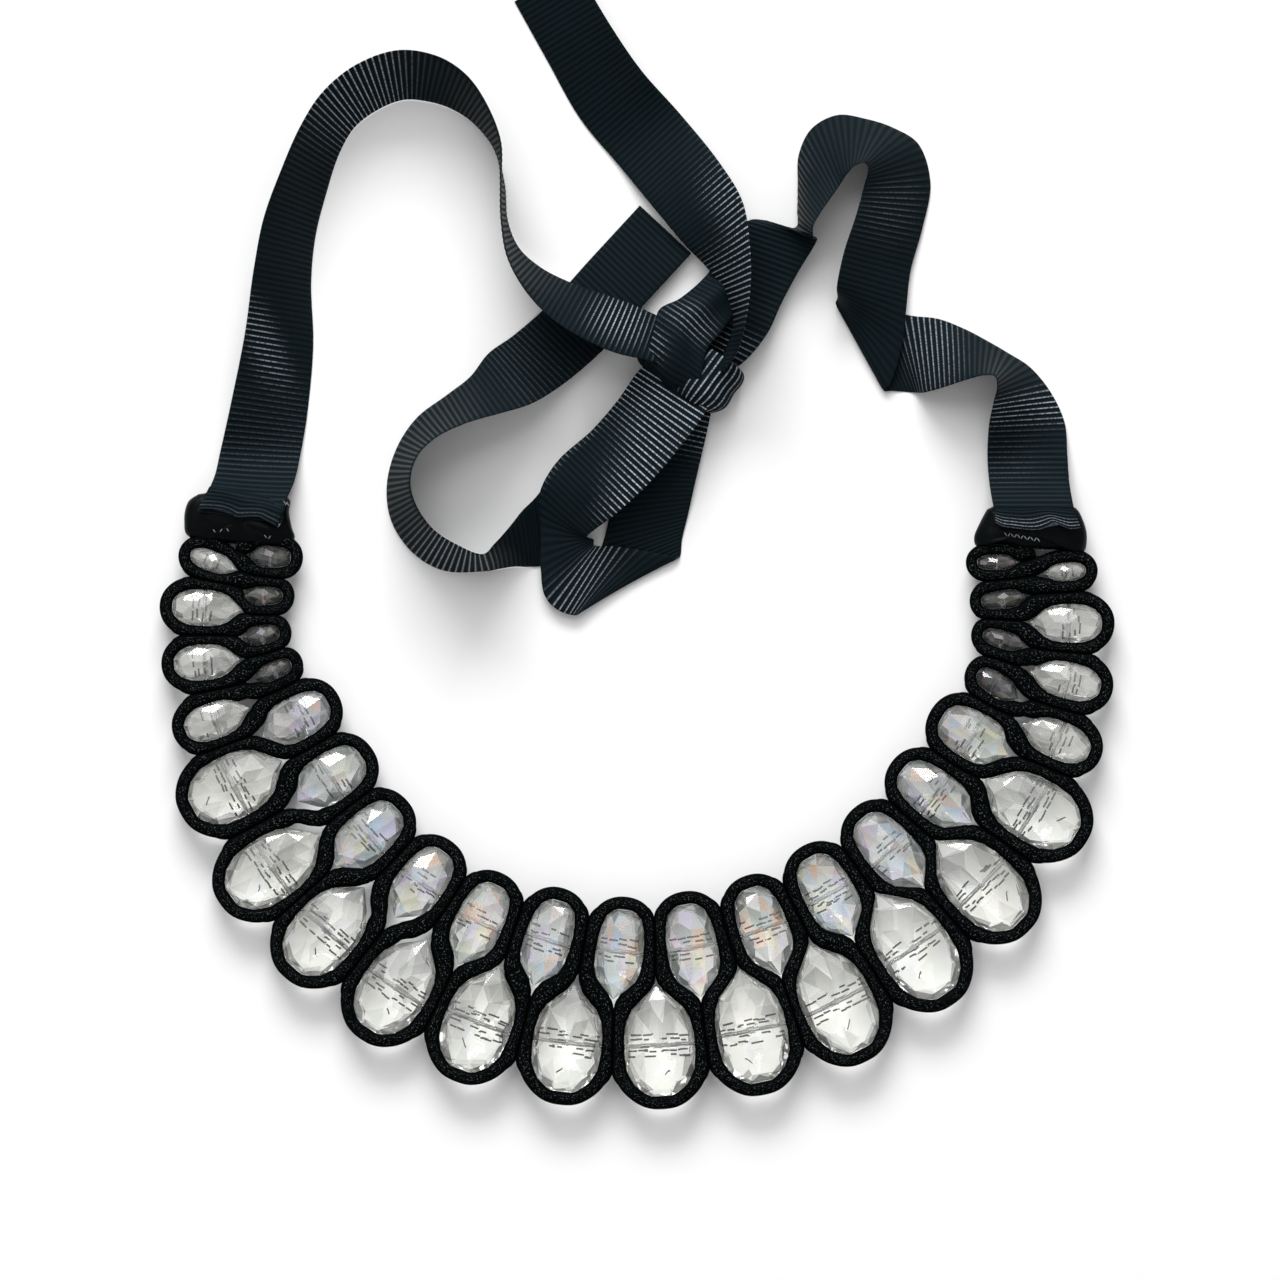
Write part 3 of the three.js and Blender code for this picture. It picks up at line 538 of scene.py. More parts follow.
def side_halves(line, sideways):
    """How far the nap reaches on each side: to a bead, halfway to the next run, or its own width.
    Each is the nearest place where a ray sideways crosses an outline or the coarser line."""
    skip = 3
    coarse = line[::skip]
    starts = np.concatenate([edge_from.reshape(-1, 2), coarse[:-1]])
    sides = np.concatenate([edge.reshape(-1, 2), np.diff(coarse, axis=0)])
    beads = edge_from.shape[0] * edge_from.shape[1]
    across = sideways[:, :1] * sides[:, 1] - sideways[:, 1:] * sides[:, 0]
    across = np.where(np.abs(across) < 1e-9, 1e-9, across)
    gap_x = starts[:, 0] - line[:, :1]
    gap_y = starts[:, 1] - line[:, 1:]
    reach = (gap_x * sides[:, 1] - gap_y * sides[:, 0]) / across
    place_on = (gap_x * sideways[:, 1:] - gap_y * sideways[:, :1]) / across
    same = SAME_BEND / CORD_FINE_STEP
    number = np.concatenate([np.full(beads, -np.inf), float(skip) * np.arange(len(coarse) - 1)])
    missed = (place_on < 0) | (place_on > 1) | (np.abs(np.arange(len(line))[:, None] - number) < same)
    halves = []
    for sign in (1, -1):
        room = np.where(missed | (reach * sign <= 0), np.inf, reach * sign)
        room = np.minimum(room[:, :beads].min(axis=1) - NAP_CLEAR,
                          room[:, beads:].min(axis=1) / 2 + NAP_TOUCH)
        fade = np.interp(room, [CORD_SPREAD, CORD_SPREAD + 0.8], [CORD_SPREAD, CORD_FREE])
        half = np.maximum(np.where(room < CORD_SPREAD, room, fade), CORD_PRESSED)
        eased = np.convolve(np.pad(half, 3, mode="edge"), np.ones(7) / 7, mode="valid")
        halves.append(np.minimum(eased, room))
    return halves


# ---- meshes ----

def new_object(name, data):
    made = bpy.data.objects.new(name, data)
    bpy.context.scene.collection.objects.link(made)
    return made


def new_piece(name, mesh, material, slot, *nodes):
    """A piece on the one body, with the CAD nodes that it stands for."""
    piece = new_object(name, mesh)
    mesh.materials.clear()
    mesh.materials.append(material)
    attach(piece, "root")
    if nodes:
        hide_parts(*nodes)
    return piece


def grid_mesh(name, points, uv):
    """A closed tube of rings: points is rings by places by 3, in millimetres, and uv has one more
    place a ring."""
    rings, size = points.shape[:2]
    faces, loops = [], []
    for r in range(rings - 1):
        for k in range(size):
            k2 = (k + 1) % size
            faces.append((r * size + k, r * size + k2, (r + 1) * size + k2, (r + 1) * size + k))
            loops += [uv[r, k], uv[r, k + 1], uv[r + 1, k + 1], uv[r + 1, k]]
    faces.append(tuple(range(size - 1, -1, -1)))
    loops += [uv[0, k] for k in range(size - 1, -1, -1)]
    faces.append(tuple((rings - 1) * size + k for k in range(size)))
    loops += [uv[-1, k] for k in range(size)]
    mesh = bpy.data.meshes.new(name)
    mesh.from_pydata(place(points.reshape(-1, 3)).tolist(), [], faces)
    layer = mesh.uv_layers.new(name="lie")
    layer.data.foreach_set("uv", np.array(loops).ravel())
    mesh.shade_smooth()
    return mesh


def taken_mesh(bm, name):
    """The mesh made in bm, which is freed."""
    mesh = bpy.data.meshes.new(name)
    bm.to_mesh(mesh)
    bm.free()
    return mesh


def cord_mesh():
    """The whole cord, with its length in centimetres in its map."""
    line = lay_cord()
    ahead = unit(np.gradient(line, axis=0))
    sideways = np.stack([-ahead[:, 1], ahead[:, 0]], axis=1)
    run = run_of(line)
    angles = np.arange(CORD_SIDES) * 2 * math.pi / CORD_SIDES
    side, rise = (np.sign(turn) * np.abs(turn) ** power
                  for turn, power in zip((np.cos(angles), np.sin(angles)), CORD_SQUARE))
    left, right = side_halves(line, sideways)
    half = np.where(side[None, :] > 0, left[:, None], right[:, None])
    # the braid under the nap stands up a little along the middle of the top and of the back
    ridge = BRAID_HEIGHT * np.exp(-(np.cos(angles) / 0.3) ** 2) * np.sign(rise)
    plait = 1 + 0.5 * np.sin(2 * math.pi * run / BRAID_PITCH)
    points = np.zeros((len(line), CORD_SIDES, 3))
    points[:, :, :2] = line[:, None] + sideways[:, None] * (half * side[None, :])[..., None]
    points[:, :, 2] = BEAD_PLANE + CORD_HEIGHT / 2 * rise + ridge * plait[:, None]
    uv = np.zeros((len(line), CORD_SIDES + 1, 2))
    uv[:, :, 0] = run[:, None] / 10
    uv[:, :, 1] = np.arange(CORD_SIDES + 1) / CORD_SIDES
    return grid_mesh("cord", points, uv)


# places across a ribbon: flat, with its edges close-set, or gathered
ACROSS = np.array([0, 0.012, 0.04, 0.09, 0.2, 0.35, 0.5, 0.65, 0.8, 0.91, 0.96, 0.988, 1])
ACROSS_PLEATS = np.linspace(0, 1, 37)


def ribbon_edges(rows):
    """The ribbon's two edges at its rows."""
    left, right = [], []
    for x, y, low, across, tilt, *span in rows:
        span = span[0] if span else RIBBON_WIDTH
        flat = direction(across) * math.cos(math.radians(tilt)) * span / 2
        rise = math.sin(math.radians(tilt)) * span / 2
        half_wall = RIBBON_THICKNESS / 2 * abs(math.cos(math.radians(tilt)))
        middle = RIBBON_REST + low + abs(rise) + half_wall
        left.append([x - flat[0], y - flat[1], middle - rise])
        right.append([x + flat[0], y + flat[1], middle + rise])
    return np.array(left), np.array(right)


def painted_rib_glints(mesh, name, places, across):
    """How much painted highlight the ribs get at each vertex, from the highlight zones listed for each
    ribbon.
    """
    painted_glint = np.zeros((len(places), len(across)))
    for row, place_across, rows_far, across_far, much, drift in PAINTED_RIB_GLINTS[name]:
        away = (places - row)[:, None]
        aside = across[None] - place_across - drift * away
        painted_glint += much * np.exp(-np.abs(away / rows_far) ** 3 - np.abs(aside / across_far) ** 3)
    painted_glint = np.concatenate([painted_glint, painted_glint[:, ::-1]], axis=1).astype(np.float32)
    layer = mesh.attributes.new("painted_rib_glints", "FLOAT", "POINT")
    layer.data.foreach_set("value", np.clip(painted_glint, 0, 1).ravel())


def sheet_mesh(name, sheet, across, run):
    """A thin wall with cross ribs on both faces. sheet: rows by places across by 3, in millimetres."""
    if len(across) > len(ACROSS):
        normal = unit(np.cross(np.gradient(sheet, axis=1), np.gradient(sheet, axis=0)))
    else:
        middles = np.gradient(sheet.mean(axis=1), axis=0)
        normal = unit(np.cross(sheet[:, -1] - sheet[:, 0], middles))[:, None]
    rib = RIB_HEIGHT * np.abs(np.cos(math.pi * run / RIB_PITCH)) ** 1.4
    inner = np.clip(np.minimum(across, 1 - across) / SELVEDGE, 0, 1)
    thick = RIBBON_THICKNESS / 2 * (0.35 + 0.65 * inner) + (rib[:, None] - RIB_HEIGHT / 2) * inner
    top = sheet + normal * thick[..., None]
    back = sheet - normal * thick[..., None]
    points = np.concatenate([top, back[:, ::-1]], axis=1)
    points[..., 2] = np.maximum(points[..., 2], RIBS_REST)
    uv = np.zeros((len(run), points.shape[1] + 1, 2))
    uv[:, :, 0] = run[:, None] / 10
    uv[:, :-1, 1] = np.concatenate([across, across[::-1]])
    return grid_mesh(name, points, uv)


def make_ribbon(name, rows, *nodes, pleats=0, fold=0.0, arch=0.0):
    """A ribbon along its rows, and its length. pleats and fold: soft folds along it where it is
    gathered, and their depth. arch: how far its middle stands up all along."""
    left, right = ribbon_edges(rows)
    places = np.linspace(0, len(rows) - 1, len(rows) * 40)
    run = run_of((spline(left, places) + spline(right, places)) / 2)
    count = round(run[-1] / RIB_PITCH * RIB_STEPS)
    at = np.interp(np.linspace(0, run[-1], count + 1), run, places)
    left, right = spline(left, at), spline(right, at)
    length = run[-1]
    run = np.linspace(0, length, count + 1)
    normal = unit(np.cross(right - left, np.gradient((left + right) / 2, axis=0)))
    across = ACROSS_PLEATS if pleats else ACROSS
    phase = random.Random(len(rows)).uniform(0, 6)
    swell = arch + CROWN * (np.sin(run / 17 + phase) + 0.5 * np.sin(run / 6.3 + 2 * phase)) / 1.5
    offset = swell[:, None] * (1 - (2 * across - 1) ** 2)
    if pleats:
        drift = 0.8 * np.sin(run / 7 + phase)
        offset += fold * np.sin(2 * math.pi * pleats * across + drift[:, None] + phase)
    sheet = left[:, None] * (1 - across)[None, :, None] + right[:, None] * across[None, :, None]
    sheet = sheet + normal[:, None] * offset[..., None]
    mesh = sheet_mesh(f"ribbon_{name}", sheet, across, run)
    # paints the highlight zones onto the ribbon's ribs
    painted_rib_glints(mesh, name, at, across)
    piece = new_piece(f"ribbon_{name}", mesh, ribbon_material, "grosgrain_ribbon", *nodes)
    return piece, length


# ---- hems and gathered ends ----

def hem_mesh(name, tie, top_edge, low_edge):
    """The tie's end folded over: a patch between two edges, on top of the tie."""
    across = np.linspace(0, 1, HEM_COLUMNS + 1)
    top, low = (spline(e, np.linspace(0, len(e) - 1, HEM_COLUMNS + 1)) for e in (top_edge, low_edge))
    rows = RIB_STEPS * HEM_RIBS + 1
    down = np.linspace(0, 1, rows)[:, None, None]
    flat = top * (1 - down) + low * down
    tie_middles = np.array([row[:2] for row in tie[:5]])
    tie_lows = np.array([row[2] for row in tie[:5]])
    ahead = unit(tie_middles[3] - tie_middles[0])
    lows = np.interp((flat - tie_middles[0]) @ ahead, (tie_middles - tie_middles[0]) @ ahead, tie_lows)
    wave = HEM_WAVE * np.sin(9 * across + 1)[None] * down[..., 0]
    height = RIBBON_REST + lows + 1.5 * RIBBON_THICKNESS + HEM_CLEAR + wave
    height[:2] -= 0.5            # its first rows turn down to the tie
    sheet = np.concatenate([flat, height[..., None]], axis=2)[:, ::-1]
    mesh = sheet_mesh(name, sheet, across, np.linspace(0, HEM_RIBS * RIB_PITCH, rows))
    # paints the highlight zones onto the hem's ribs
    painted_rib_glints(mesh, name, down[:, 0, 0], across)
    return mesh


def gathered_mesh(name, outline, seed):
    """A soft bundle over its outline: pleats run down it from under the hem."""
    ring = spline(outline + [outline[0]], np.linspace(0, len(outline), BUNDLE_SIDES + 1))[:-1]
    middle = ring.mean(axis=0)
    phase = random.Random(seed).uniform(0, 6)
    rings = []
    for k in range(BUNDLE_LEVELS):
        angle = math.pi * (k / (BUNDLE_LEVELS - 1) - 0.5) * 0.97
        share = math.cos(angle) ** 0.55
        flat = middle + (ring - middle) * share
        lean = flat[:, 0] * 0.9 + 1.6 * np.sin(flat[:, 1] / 4 + phase)
        crease = np.abs(np.sin(lean * PLEATS + phase)) ** 0.7 - 0.6
        fine = 0.12 * np.sin(lean * 3.1 * PLEATS + 2 * phase)
        depth = max(math.sin(angle), -0.2)
        height = BUNDLE_FOOT + BUNDLE_HEIGHT * (0.5 + 0.5 * math.sin(angle)) + depth * (crease + fine)
        rings.append(np.concatenate([flat, height[:, None]], axis=1))
    points = np.array(rings)
    uv = np.zeros((BUNDLE_LEVELS, BUNDLE_SIDES + 1, 2))
    uv[:, :-1, 0] = points[..., 0] / 10
    uv[:, :-1, 1] = points[..., 1] / 10
    uv[:, -1] = uv[:, 0]
    return grid_mesh(name, points, uv)


def stitches_mesh():
    """The rows of small slanted stitches on the gathered ends, and the light thread marks that partly paint
    glints on the left end.
    """
    joined = bmesh.new()
    for start, end, count, reach, height in STITCHES:
        start, end = np.array(start), np.array(end)
        for i in range(count):
            spot = start + (end - start) * (i / max(count - 1, 1))
            lean = 1 if i % 2 else -1
            bar = np.array([0.35 * lean * reach, reach * 0.5])
            low = np.append(spot - bar / 1.2, height)
            high = np.append(spot + bar / 1.2, height + 0.1)
            bm = bmesh.new()
            bmesh.ops.create_icosphere(bm, subdivisions=2, radius=0.5)
            stitch = Vector(high - low)
            turn = Vector((0, 0, 1)).rotation_difference(stitch).to_matrix()
            size = Vector((STITCH_THICKNESS, STITCH_THICKNESS, stitch.length))
            for v in bm.verts:
                v.co = Vector(place(turn @ (v.co * size) + Vector((low + high) / 2)))
            mesh = taken_mesh(bm, "stitch")
            joined.from_mesh(mesh)
            bpy.data.meshes.remove(mesh)
    mesh = taken_mesh(joined, "stitches")
    mesh.shade_smooth()
    return mesh


# ---- beads ----

DASH = 0.46                       # a dark line's thickness in a bead, and its rows' places; the lines are dark rods that paint the hole's images in the facets
DASH_ROWS = (0.0, 1.35, -1.3, 2.7, -2.5)
DASH_END = 1.3                    # how far from the bead's sides the rows stop
DASH_LIFT = 0.12                  # of the thickness, in the narrow beads
DASH_SHARE = 0.72                 # how many of the lines show
SLANTED = 6.2                     # place of the slanted line in the widest beads
GIRDLE = 0.35                     # height of the girdle's band
RIM_CORNERS = {"outer": 12, "inner": 10}
RIM = (0.87, 0.42)                # reach and rise of the row of corners next to the girdle
KITES = {                         # how many, their tips' reach, their sides' reach, their slope
    "outer": (6, 0.74, 0.42, 0.56),
    "inner": (4, 0.72, 0.40, 0.44),
}
JITTER = 0.04
FLAT = 0.82                       # how upright the normal of a flat facet is, at least

TINTS = [                         # of the coated beads' flat facets: coat colours, and whites and greys that are painted reflection and shade
    (1.00, 0.72, 0.56), (0.98, 0.96, 0.74), (0.72, 0.86, 1.00), (0.86, 0.80, 0.98), (0.92, 0.82, 0.80),
    (1.00, 1.00, 1.00), (1.00, 1.00, 0.98), (1.00, 1.00, 1.00), (0.60, 0.66, 0.62), (0.76, 0.81, 0.78),
    (0.92, 0.96, 0.95),
]
GLASS_GREYS = [(1.00, 1.00, 0.97), (0.98, 0.99, 0.94), (1.00, 0.99, 0.95), (0.97, 0.98, 0.97)]
OUTER_PAINTED_SHADES = {                  # painted shade of facets, lighter when flat and towards the wide end: flat or steep, towards the wide end or the narrow one
    (True, True): (1.0, 1.0, 1.0, 1.0, 0.8),
    (True, False): (1.0, 1.0, 0.86, 0.72, 0.6),
    (False, True): (1.0, 1.0, 0.9, 0.62, 0.34),
    (False, False): (1.0, 1.0, 0.8, 0.6, 0.4),
}
NARROW = 10.0                     # the beads narrower than this are the ones near both ends
SMALL = 7.0                       # inner beads narrower than this are smoky
SMOKY_SHADES = (0.22, 0.3, 0.42, 0.6)
# painted shade: the coated beads' steep rim facets in darker greys
RIM_PAINTED_GREYS = [(0.52, 0.54, 0.51), (0.38, 0.40, 0.39), (0.74, 0.76, 0.74), (0.92, 0.93, 0.92)]


def bead_hull(bead, kind, draw):
    """Convex cut drop in its own axes, in millimetres: x along its length, z up."""
    half_length, half_width, half_height = bead.length / 2, bead.width / 2, bead.thickness / 2
    middle_x = DRILL_PLACE * bead.length
    places = np.linspace(0, len(bead.half_outline) - 1, 2 * len(bead.half_outline) - 1)
    points = []
    for along, wide in spline(bead.half_outline, places):
        for sign in (1, -1):
            for level in (1, -1):
                points.append(((along - 0.5) * bead.length, sign * wide * half_width, level * GIRDLE / 2))
    count, tip, side, slope = KITES[kind]
    for up in (1, -1):
        def add(angle, reach, rise):
            points.append((middle_x + reach * 0.96 * math.cos(angle) * half_length,
                           reach * math.sin(angle) * half_width, up * rise * half_height))

        for i in range(RIM_CORNERS[kind]):
            reach = RIM[0] + draw.uniform(-JITTER, JITTER)
            add((i + 0.5) * 2 * math.pi / RIM_CORNERS[kind], reach, RIM[1])
        turned = draw.uniform(-0.6, 0.6)
        for i in range(count):
            add(turned + i * 2 * math.pi / count, tip, 1 - slope * tip)
            add(turned + (i + 0.5) * 2 * math.pi / count, side,
                1 - slope * side * math.cos(math.pi / count))
        points.append((middle_x, 0, up * half_height))
    return points


def drill_mesh(bead, radius, reach, name, beside=0.0):
    """A rod across the bead: the drill itself, a strand through its hole, or a dark line."""
    bm = bmesh.new()
    bmesh.ops.create_cone(bm, cap_ends=True, segments=12, radius1=radius, radius2=radius, depth=2 * reach)
    across = Vector((0, 0, 1)).rotation_difference(Vector((0, 1, 0))).to_matrix()
    bmesh.ops.rotate(bm, verts=bm.verts, matrix=across)
    bmesh.ops.translate(bm, verts=bm.verts, vec=(DRILL_PLACE * bead.length + beside, 0, 0))
    return taken_mesh(bm, name)


def seat(mesh, bead):
    """From a bead's own axes in millimetres to its place in the frame."""
    co = np.zeros(len(mesh.vertices) * 3)
    mesh.vertices.foreach_get("co", co)
    co = co.reshape(-1, 3)
    side = np.array([-bead.along[1], bead.along[0]])
    spots = np.zeros_like(co)
    spots[:, :2] = bead.middle + co[:, :1] * bead.along + co[:, 1:2] * side
    spots[:, 2] = BEAD_PLANE + co[:, 2]
    mesh.vertices.foreach_set("co", place(spots).ravel())
    mesh.update()


def bead_mesh(bead, name, draw, kind):
    """The cut drop before drilling, with a tint and a painted shade on each facet."""
    bm = bmesh.new()
    for point in bead_hull(bead, kind, draw):
        bm.verts.new(point)
    made = bmesh.ops.convex_hull(bm, input=bm.verts)
    loose = {v for v in made["geom_interior"] + made["geom_unused"] if isinstance(v, bmesh.types.BMVert)}
    bmesh.ops.delete(bm, geom=list(loose), context="VERTS")
    bmesh.ops.dissolve_limit(bm, angle_limit=math.radians(1.5), verts=bm.verts, edges=bm.edges)
    bmesh.ops.recalc_face_normals(bm, faces=bm.faces)
    mesh = taken_mesh(bm, name)
    mesh.shade_flat()
    # each facet has its own tint, and a painted shade that stands for the light and shade it throws back
    layer = mesh.color_attributes.new(name="tint", type="FLOAT_COLOR", domain="CORNER")
    for face in mesh.polygons:
        flat = abs(face.normal.z) > FLAT
        if kind == "inner":
            colour = draw.choice(TINTS) if flat else draw.choice(RIM_PAINTED_GREYS)
            shade = draw.uniform(0.9, 1.0)
            if bead.width < SMALL:
                shade *= draw.choice(SMOKY_SHADES)
        else:
            colour = draw.choice(GLASS_GREYS)
            wide_end = face.center.x > 0.03 * bead.length
            shade = draw.choice(OUTER_PAINTED_SHADES[flat, wide_end])
        for loop in face.loop_indices:
            layer.data[loop].color = (*(c * shade for c in colour), 1)
    return mesh


def cut_hole(piece, bead):
    """Drills the bead across, and applies the cut."""
    tool = new_object("drill_tool", drill_mesh(bead, DRILL / 2, bead.width, "drill_tool"))
    modifier = piece.modifiers.new("hole", "BOOLEAN")
    modifier.operation = "DIFFERENCE"
    modifier.solver = "EXACT"
    modifier.object = tool
    cut = bpy.data.meshes.new_from_object(piece.evaluated_get(bpy.context.evaluated_depsgraph_get()))
    piece.modifiers.clear()
    material = piece.data.materials[0]
    piece.data = cut
    cut.materials.clear()
    cut.materials.append(material)
    bpy.data.objects.remove(tool)


def make_beads(beads, kind, material, narrow_material, slot, draw):
    for i, bead in enumerate(beads):
        name = f"crystal_{kind}_{i + 1:02d}"
        piece = new_piece(name, bead_mesh(bead, name, draw, kind),
                          narrow_material if bead.width < NARROW else material, slot,
                          f"{kind}_bead_{i + 1:02d}")
        cut_hole(piece, bead)
        seat(piece.data, bead)


def dashes(bead, draw):
    """The broken dark lines beside the hole, dark rods that paint its images in the facets, and one
    slanted one in the widest beads: where along the bead, how far aside, how long, and how they lean."""
    reach = bead.width / 2 - DASH_END
    rows = DASH_ROWS if bead.width > 11 else DASH_ROWS[:4] if bead.length > 15 else DASH_ROWS[:3]
    for beside in rows:
        at = -reach + draw.uniform(0, 1.2)
        while at < reach - 0.8:
            long = draw.uniform(1.0, 2.8)
            if draw.random() < DASH_SHARE:
                middle, part = (at + min(at + long, reach)) / 2, min(long, reach - at)
                yield beside + draw.uniform(-0.4, 0.4), middle, part, draw.uniform(-0.05, 0.05)
            at += long + draw.uniform(0.1, 0.8)
    if bead.width > 14:
        yield (SLANTED + draw.uniform(-1, 1), draw.uniform(-2.6, 2.6), draw.uniform(1.0, 1.8),
               draw.choice((-1, 1)) * draw.uniform(0.7, 1.3))


def make_threads(material):
    """The two thin black strands that cross each bead through its hole, and the broken dark lines that
    its facets make of them, painted as dark rods in the glass, joined as one piece."""
    joined = bmesh.new()
    draw = random.Random(41)
    for bead in threaded:
        made = [drill_mesh(bead, THREAD / 2, bead.width / 2 + 0.6, "strand", side * THREAD_APART)
                for side in (1, -1)]
        for beside, aside, long, lean in dashes(bead, draw):
            dash = drill_mesh(bead, DASH / 2, long / 2, "dash", beside)
            rise = draw.uniform(-0.6, 0.6)
            if bead.width < NARROW:
                rise += DASH_LIFT * bead.thickness
            for v in dash.vertices:
                v.co = (v.co.x + lean * v.co.y, v.co.y + aside, v.co.z + rise)
            made.append(dash)
        for mesh in made:
            seat(mesh, bead)
            joined.from_mesh(mesh)
            bpy.data.meshes.remove(mesh)
    new_piece("bead_threads", taken_mesh(joined, "bead_threads"), material, "velvet_cord")


# ---- materials ----

class Nodes:
    """Short names for adding and joining a material's nodes."""

    def __init__(self, name):
        self.material = bpy.data.materials.new(name)
        self.material.use_nodes = True
        self.tree = self.material.node_tree
        self.shader = self.tree.nodes["Principled BSDF"]
        self.output = self.tree.nodes["Material Output"]

    def node(self, kind, inputs=None, **values):
        made = self.tree.nodes.new(kind)
        for key, value in values.items():
            setattr(made, key, value)
        for socket, value in (inputs or {}).items():
            self.link(value, made.inputs[socket])
        return made

    def link(self, source, target):
        """Joins an output to a socket, or sets the socket to a number, vector or colour."""
        if isinstance(source, (int, float)):
            target.default_value = source
        elif isinstance(source, tuple):
            target.default_value = (*source, 1) if target.type == "RGBA" else source
        else:
            self.tree.links.new(source, target)

    def math(self, operation, a, b=0.0):
        return self.node("ShaderNodeMath", {0: a, 1: b}, operation=operation).outputs[0]

    def mix(self, factor, a, b, blend="MIX"):
        made = self.node("ShaderNodeMix", data_type="RGBA", blend_type=blend)
        for name, value in (("Factor_Float", factor), ("A_Color", a), ("B_Color", b)):
            self.link(value, next(s for s in made.inputs if s.identifier == name))
        return next(s for s in made.outputs if s.identifier == "Result_Color")

    def noise(self, vector, scale, detail):
        made = self.node("ShaderNodeTexNoise", {"Vector": vector, "Scale": scale, "Detail": detail})
        return made.outputs["Fac"]

    def ramp(self, value, low, high):
        """0 below low, 1 above high, and smooth between."""
        made = self.node("ShaderNodeMapRange", {"Value": value, "From Min": low, "From Max": high},
                         interpolation_type="SMOOTHSTEP")
        return made.outputs["Result"]

    def bump(self, height, distance, strength):
        made = self.node("ShaderNodeBump", {"Height": height, "Distance": distance, "Strength": strength})
        self.link(made.outputs["Normal"], self.shader.inputs["Normal"])

    def paint(self, colour):
        self.link(colour, self.shader.inputs["Base Color"])

    def set(self, **values):
        for key, value in values.items():
            self.shader.inputs[key.replace("_", " ")].default_value = value

    def lie(self):
        """The run (in centimetres) and the place across, from the piece's own map."""
        uv = self.node("ShaderNodeUVMap", uv_map="lie").outputs["UV"]
        parts = self.node("ShaderNodeSeparateXYZ", {0: uv})
        return uv, parts.outputs["X"], parts.outputs["Y"]

    def stretched(self, along, across):
        """Coordinates drawn out along or across the run, for threads."""
        uv, _, _ = self.lie()
        return self.node("ShaderNodeMapping", {"Vector": uv, "Scale": (along, across, 1)}).outputs["Vector"]


def glass(name, clear_share):
    """Cut glass in its facets' tints and painted shades, with a little cloudiness. Shadow rays lose only 8%
    at each surface, which stands in for the light that real glass gathers on the floor."""
    nodes = Nodes(name)
    tint = nodes.node("ShaderNodeAttribute", attribute_name="tint")
    where = nodes.node("ShaderNodeTexCoord").outputs["Object"]
    cloud = nodes.ramp(nodes.noise(where, 90, 2), 0.35, 0.7)
    colour = nodes.mix(0.5, tint.outputs["Color"],
                       nodes.mix(cloud, (0.94, 0.95, 0.95), (1.0, 1.0, 1.0)), "MULTIPLY")
    nodes.paint(colour)
    nodes.set(Roughness=0.0, IOR=1.5, Transmission_Weight=clear_share)
    clear = nodes.node("ShaderNodeBsdfTransparent", {"Color": (0.92, 0.92, 0.92)})
    path = nodes.node("ShaderNodeLightPath")
    mixer = nodes.node("ShaderNodeMixShader", {
        0: path.outputs["Is Shadow Ray"], 1: nodes.shader.outputs[0], 2: clear.outputs[0]})
    nodes.link(mixer.outputs[0], nodes.output.inputs["Surface"])
    return nodes.material


def napped_cord():
    """Black nap, with light flecks along the braid's ridge on its top and back."""
    nodes = Nodes("napped_cord")
    _, _, round_ = nodes.lie()
    top = nodes.math("ABSOLUTE", nodes.math("SINE", nodes.math("MULTIPLY", round_, 2 * math.pi)))
    speckle = nodes.ramp(nodes.noise(nodes.stretched(20, 60), 1, 1), 0.62, 0.7)
    nap = nodes.noise(nodes.stretched(60, 90), 1, 4)
    along_ridge = nodes.ramp(top, 0.8, 0.98)
    fleck = nodes.math("MULTIPLY", speckle, along_ridge)
    dark = nodes.mix(nap, (0.0003, 0.0006, 0.0007), (0.0016, 0.0026, 0.0028))
    colour = nodes.mix(fleck, dark, (0.10, 0.11, 0.11))
    nodes.paint(colour)
    height = nodes.math("ADD", nodes.math("MULTIPLY", nap, 0.5), fleck)
    nodes.bump(height, 0.00008, 0.5)
    nodes.set(Roughness=0.7, Specular_IOR_Level=0.012)
    return nodes.material


def grosgrain():
    """Ribs across the run, each painted a little lighter on its crest as sheen and darker between ribs as
    shade, and broken painted highlights on the crests in the stretches whose highlight zones are listed."""
    nodes = Nodes("grosgrain")
    _, run, _ = nodes.lie()
    turn = nodes.math("MULTIPLY", run, math.pi * 10 / RIB_PITCH)
    wave = nodes.math("ABSOLUTE", nodes.math("COSINE", turn))
    # crests painted a little lighter as sheen and grooves darker as shade; crest also sets the roughness
    crest = nodes.ramp(wave, 0.45, 0.95)
    ridge = nodes.ramp(wave, 0.89, 0.995)
    threads = nodes.noise(nodes.stretched(12, 150), 1, 2)
    dots = nodes.ramp(nodes.noise(nodes.stretched(7, 46), 1, 1), 0.38, 0.58)
    patches = nodes.noise(nodes.stretched(1.2, 3.0), 1, 2)
    dark = nodes.mix(patches, (0.0022, 0.0054, 0.0068), (0.0042, 0.0090, 0.0112))
    light = nodes.mix(threads, (0.0028, 0.0060, 0.0076), (0.0080, 0.0125, 0.0160))
    colour = nodes.mix(crest, dark, light)
    # painted highlights: broken light grey lines on the crests where the ribs' highlight zones are set
    lighter = nodes.node("ShaderNodeAttribute", attribute_name="painted_rib_glints")
    broken = nodes.math("ADD", nodes.math("MULTIPLY", dots, 0.7), 0.3)
    painted_glint = nodes.math("MULTIPLY", nodes.math("MULTIPLY", lighter.outputs["Fac"], ridge), broken)
    nodes.paint(nodes.mix(painted_glint, colour, (0.46, 0.50, 0.57)))
    height = nodes.math("ADD", nodes.math("MULTIPLY", threads, 0.6), wave)
    nodes.bump(height, 0.00005, 0.7)
    rough = nodes.node("ShaderNodeMapRange", {"Value": crest, "To Min": 0.8, "To Max": 0.45})
    nodes.link(rough.outputs["Result"], nodes.shader.inputs["Roughness"])
    nodes.set(Specular_IOR_Level=0.06, Specular_Tint=(0.72, 0.9, 1.0, 1.0))
    return nodes.material


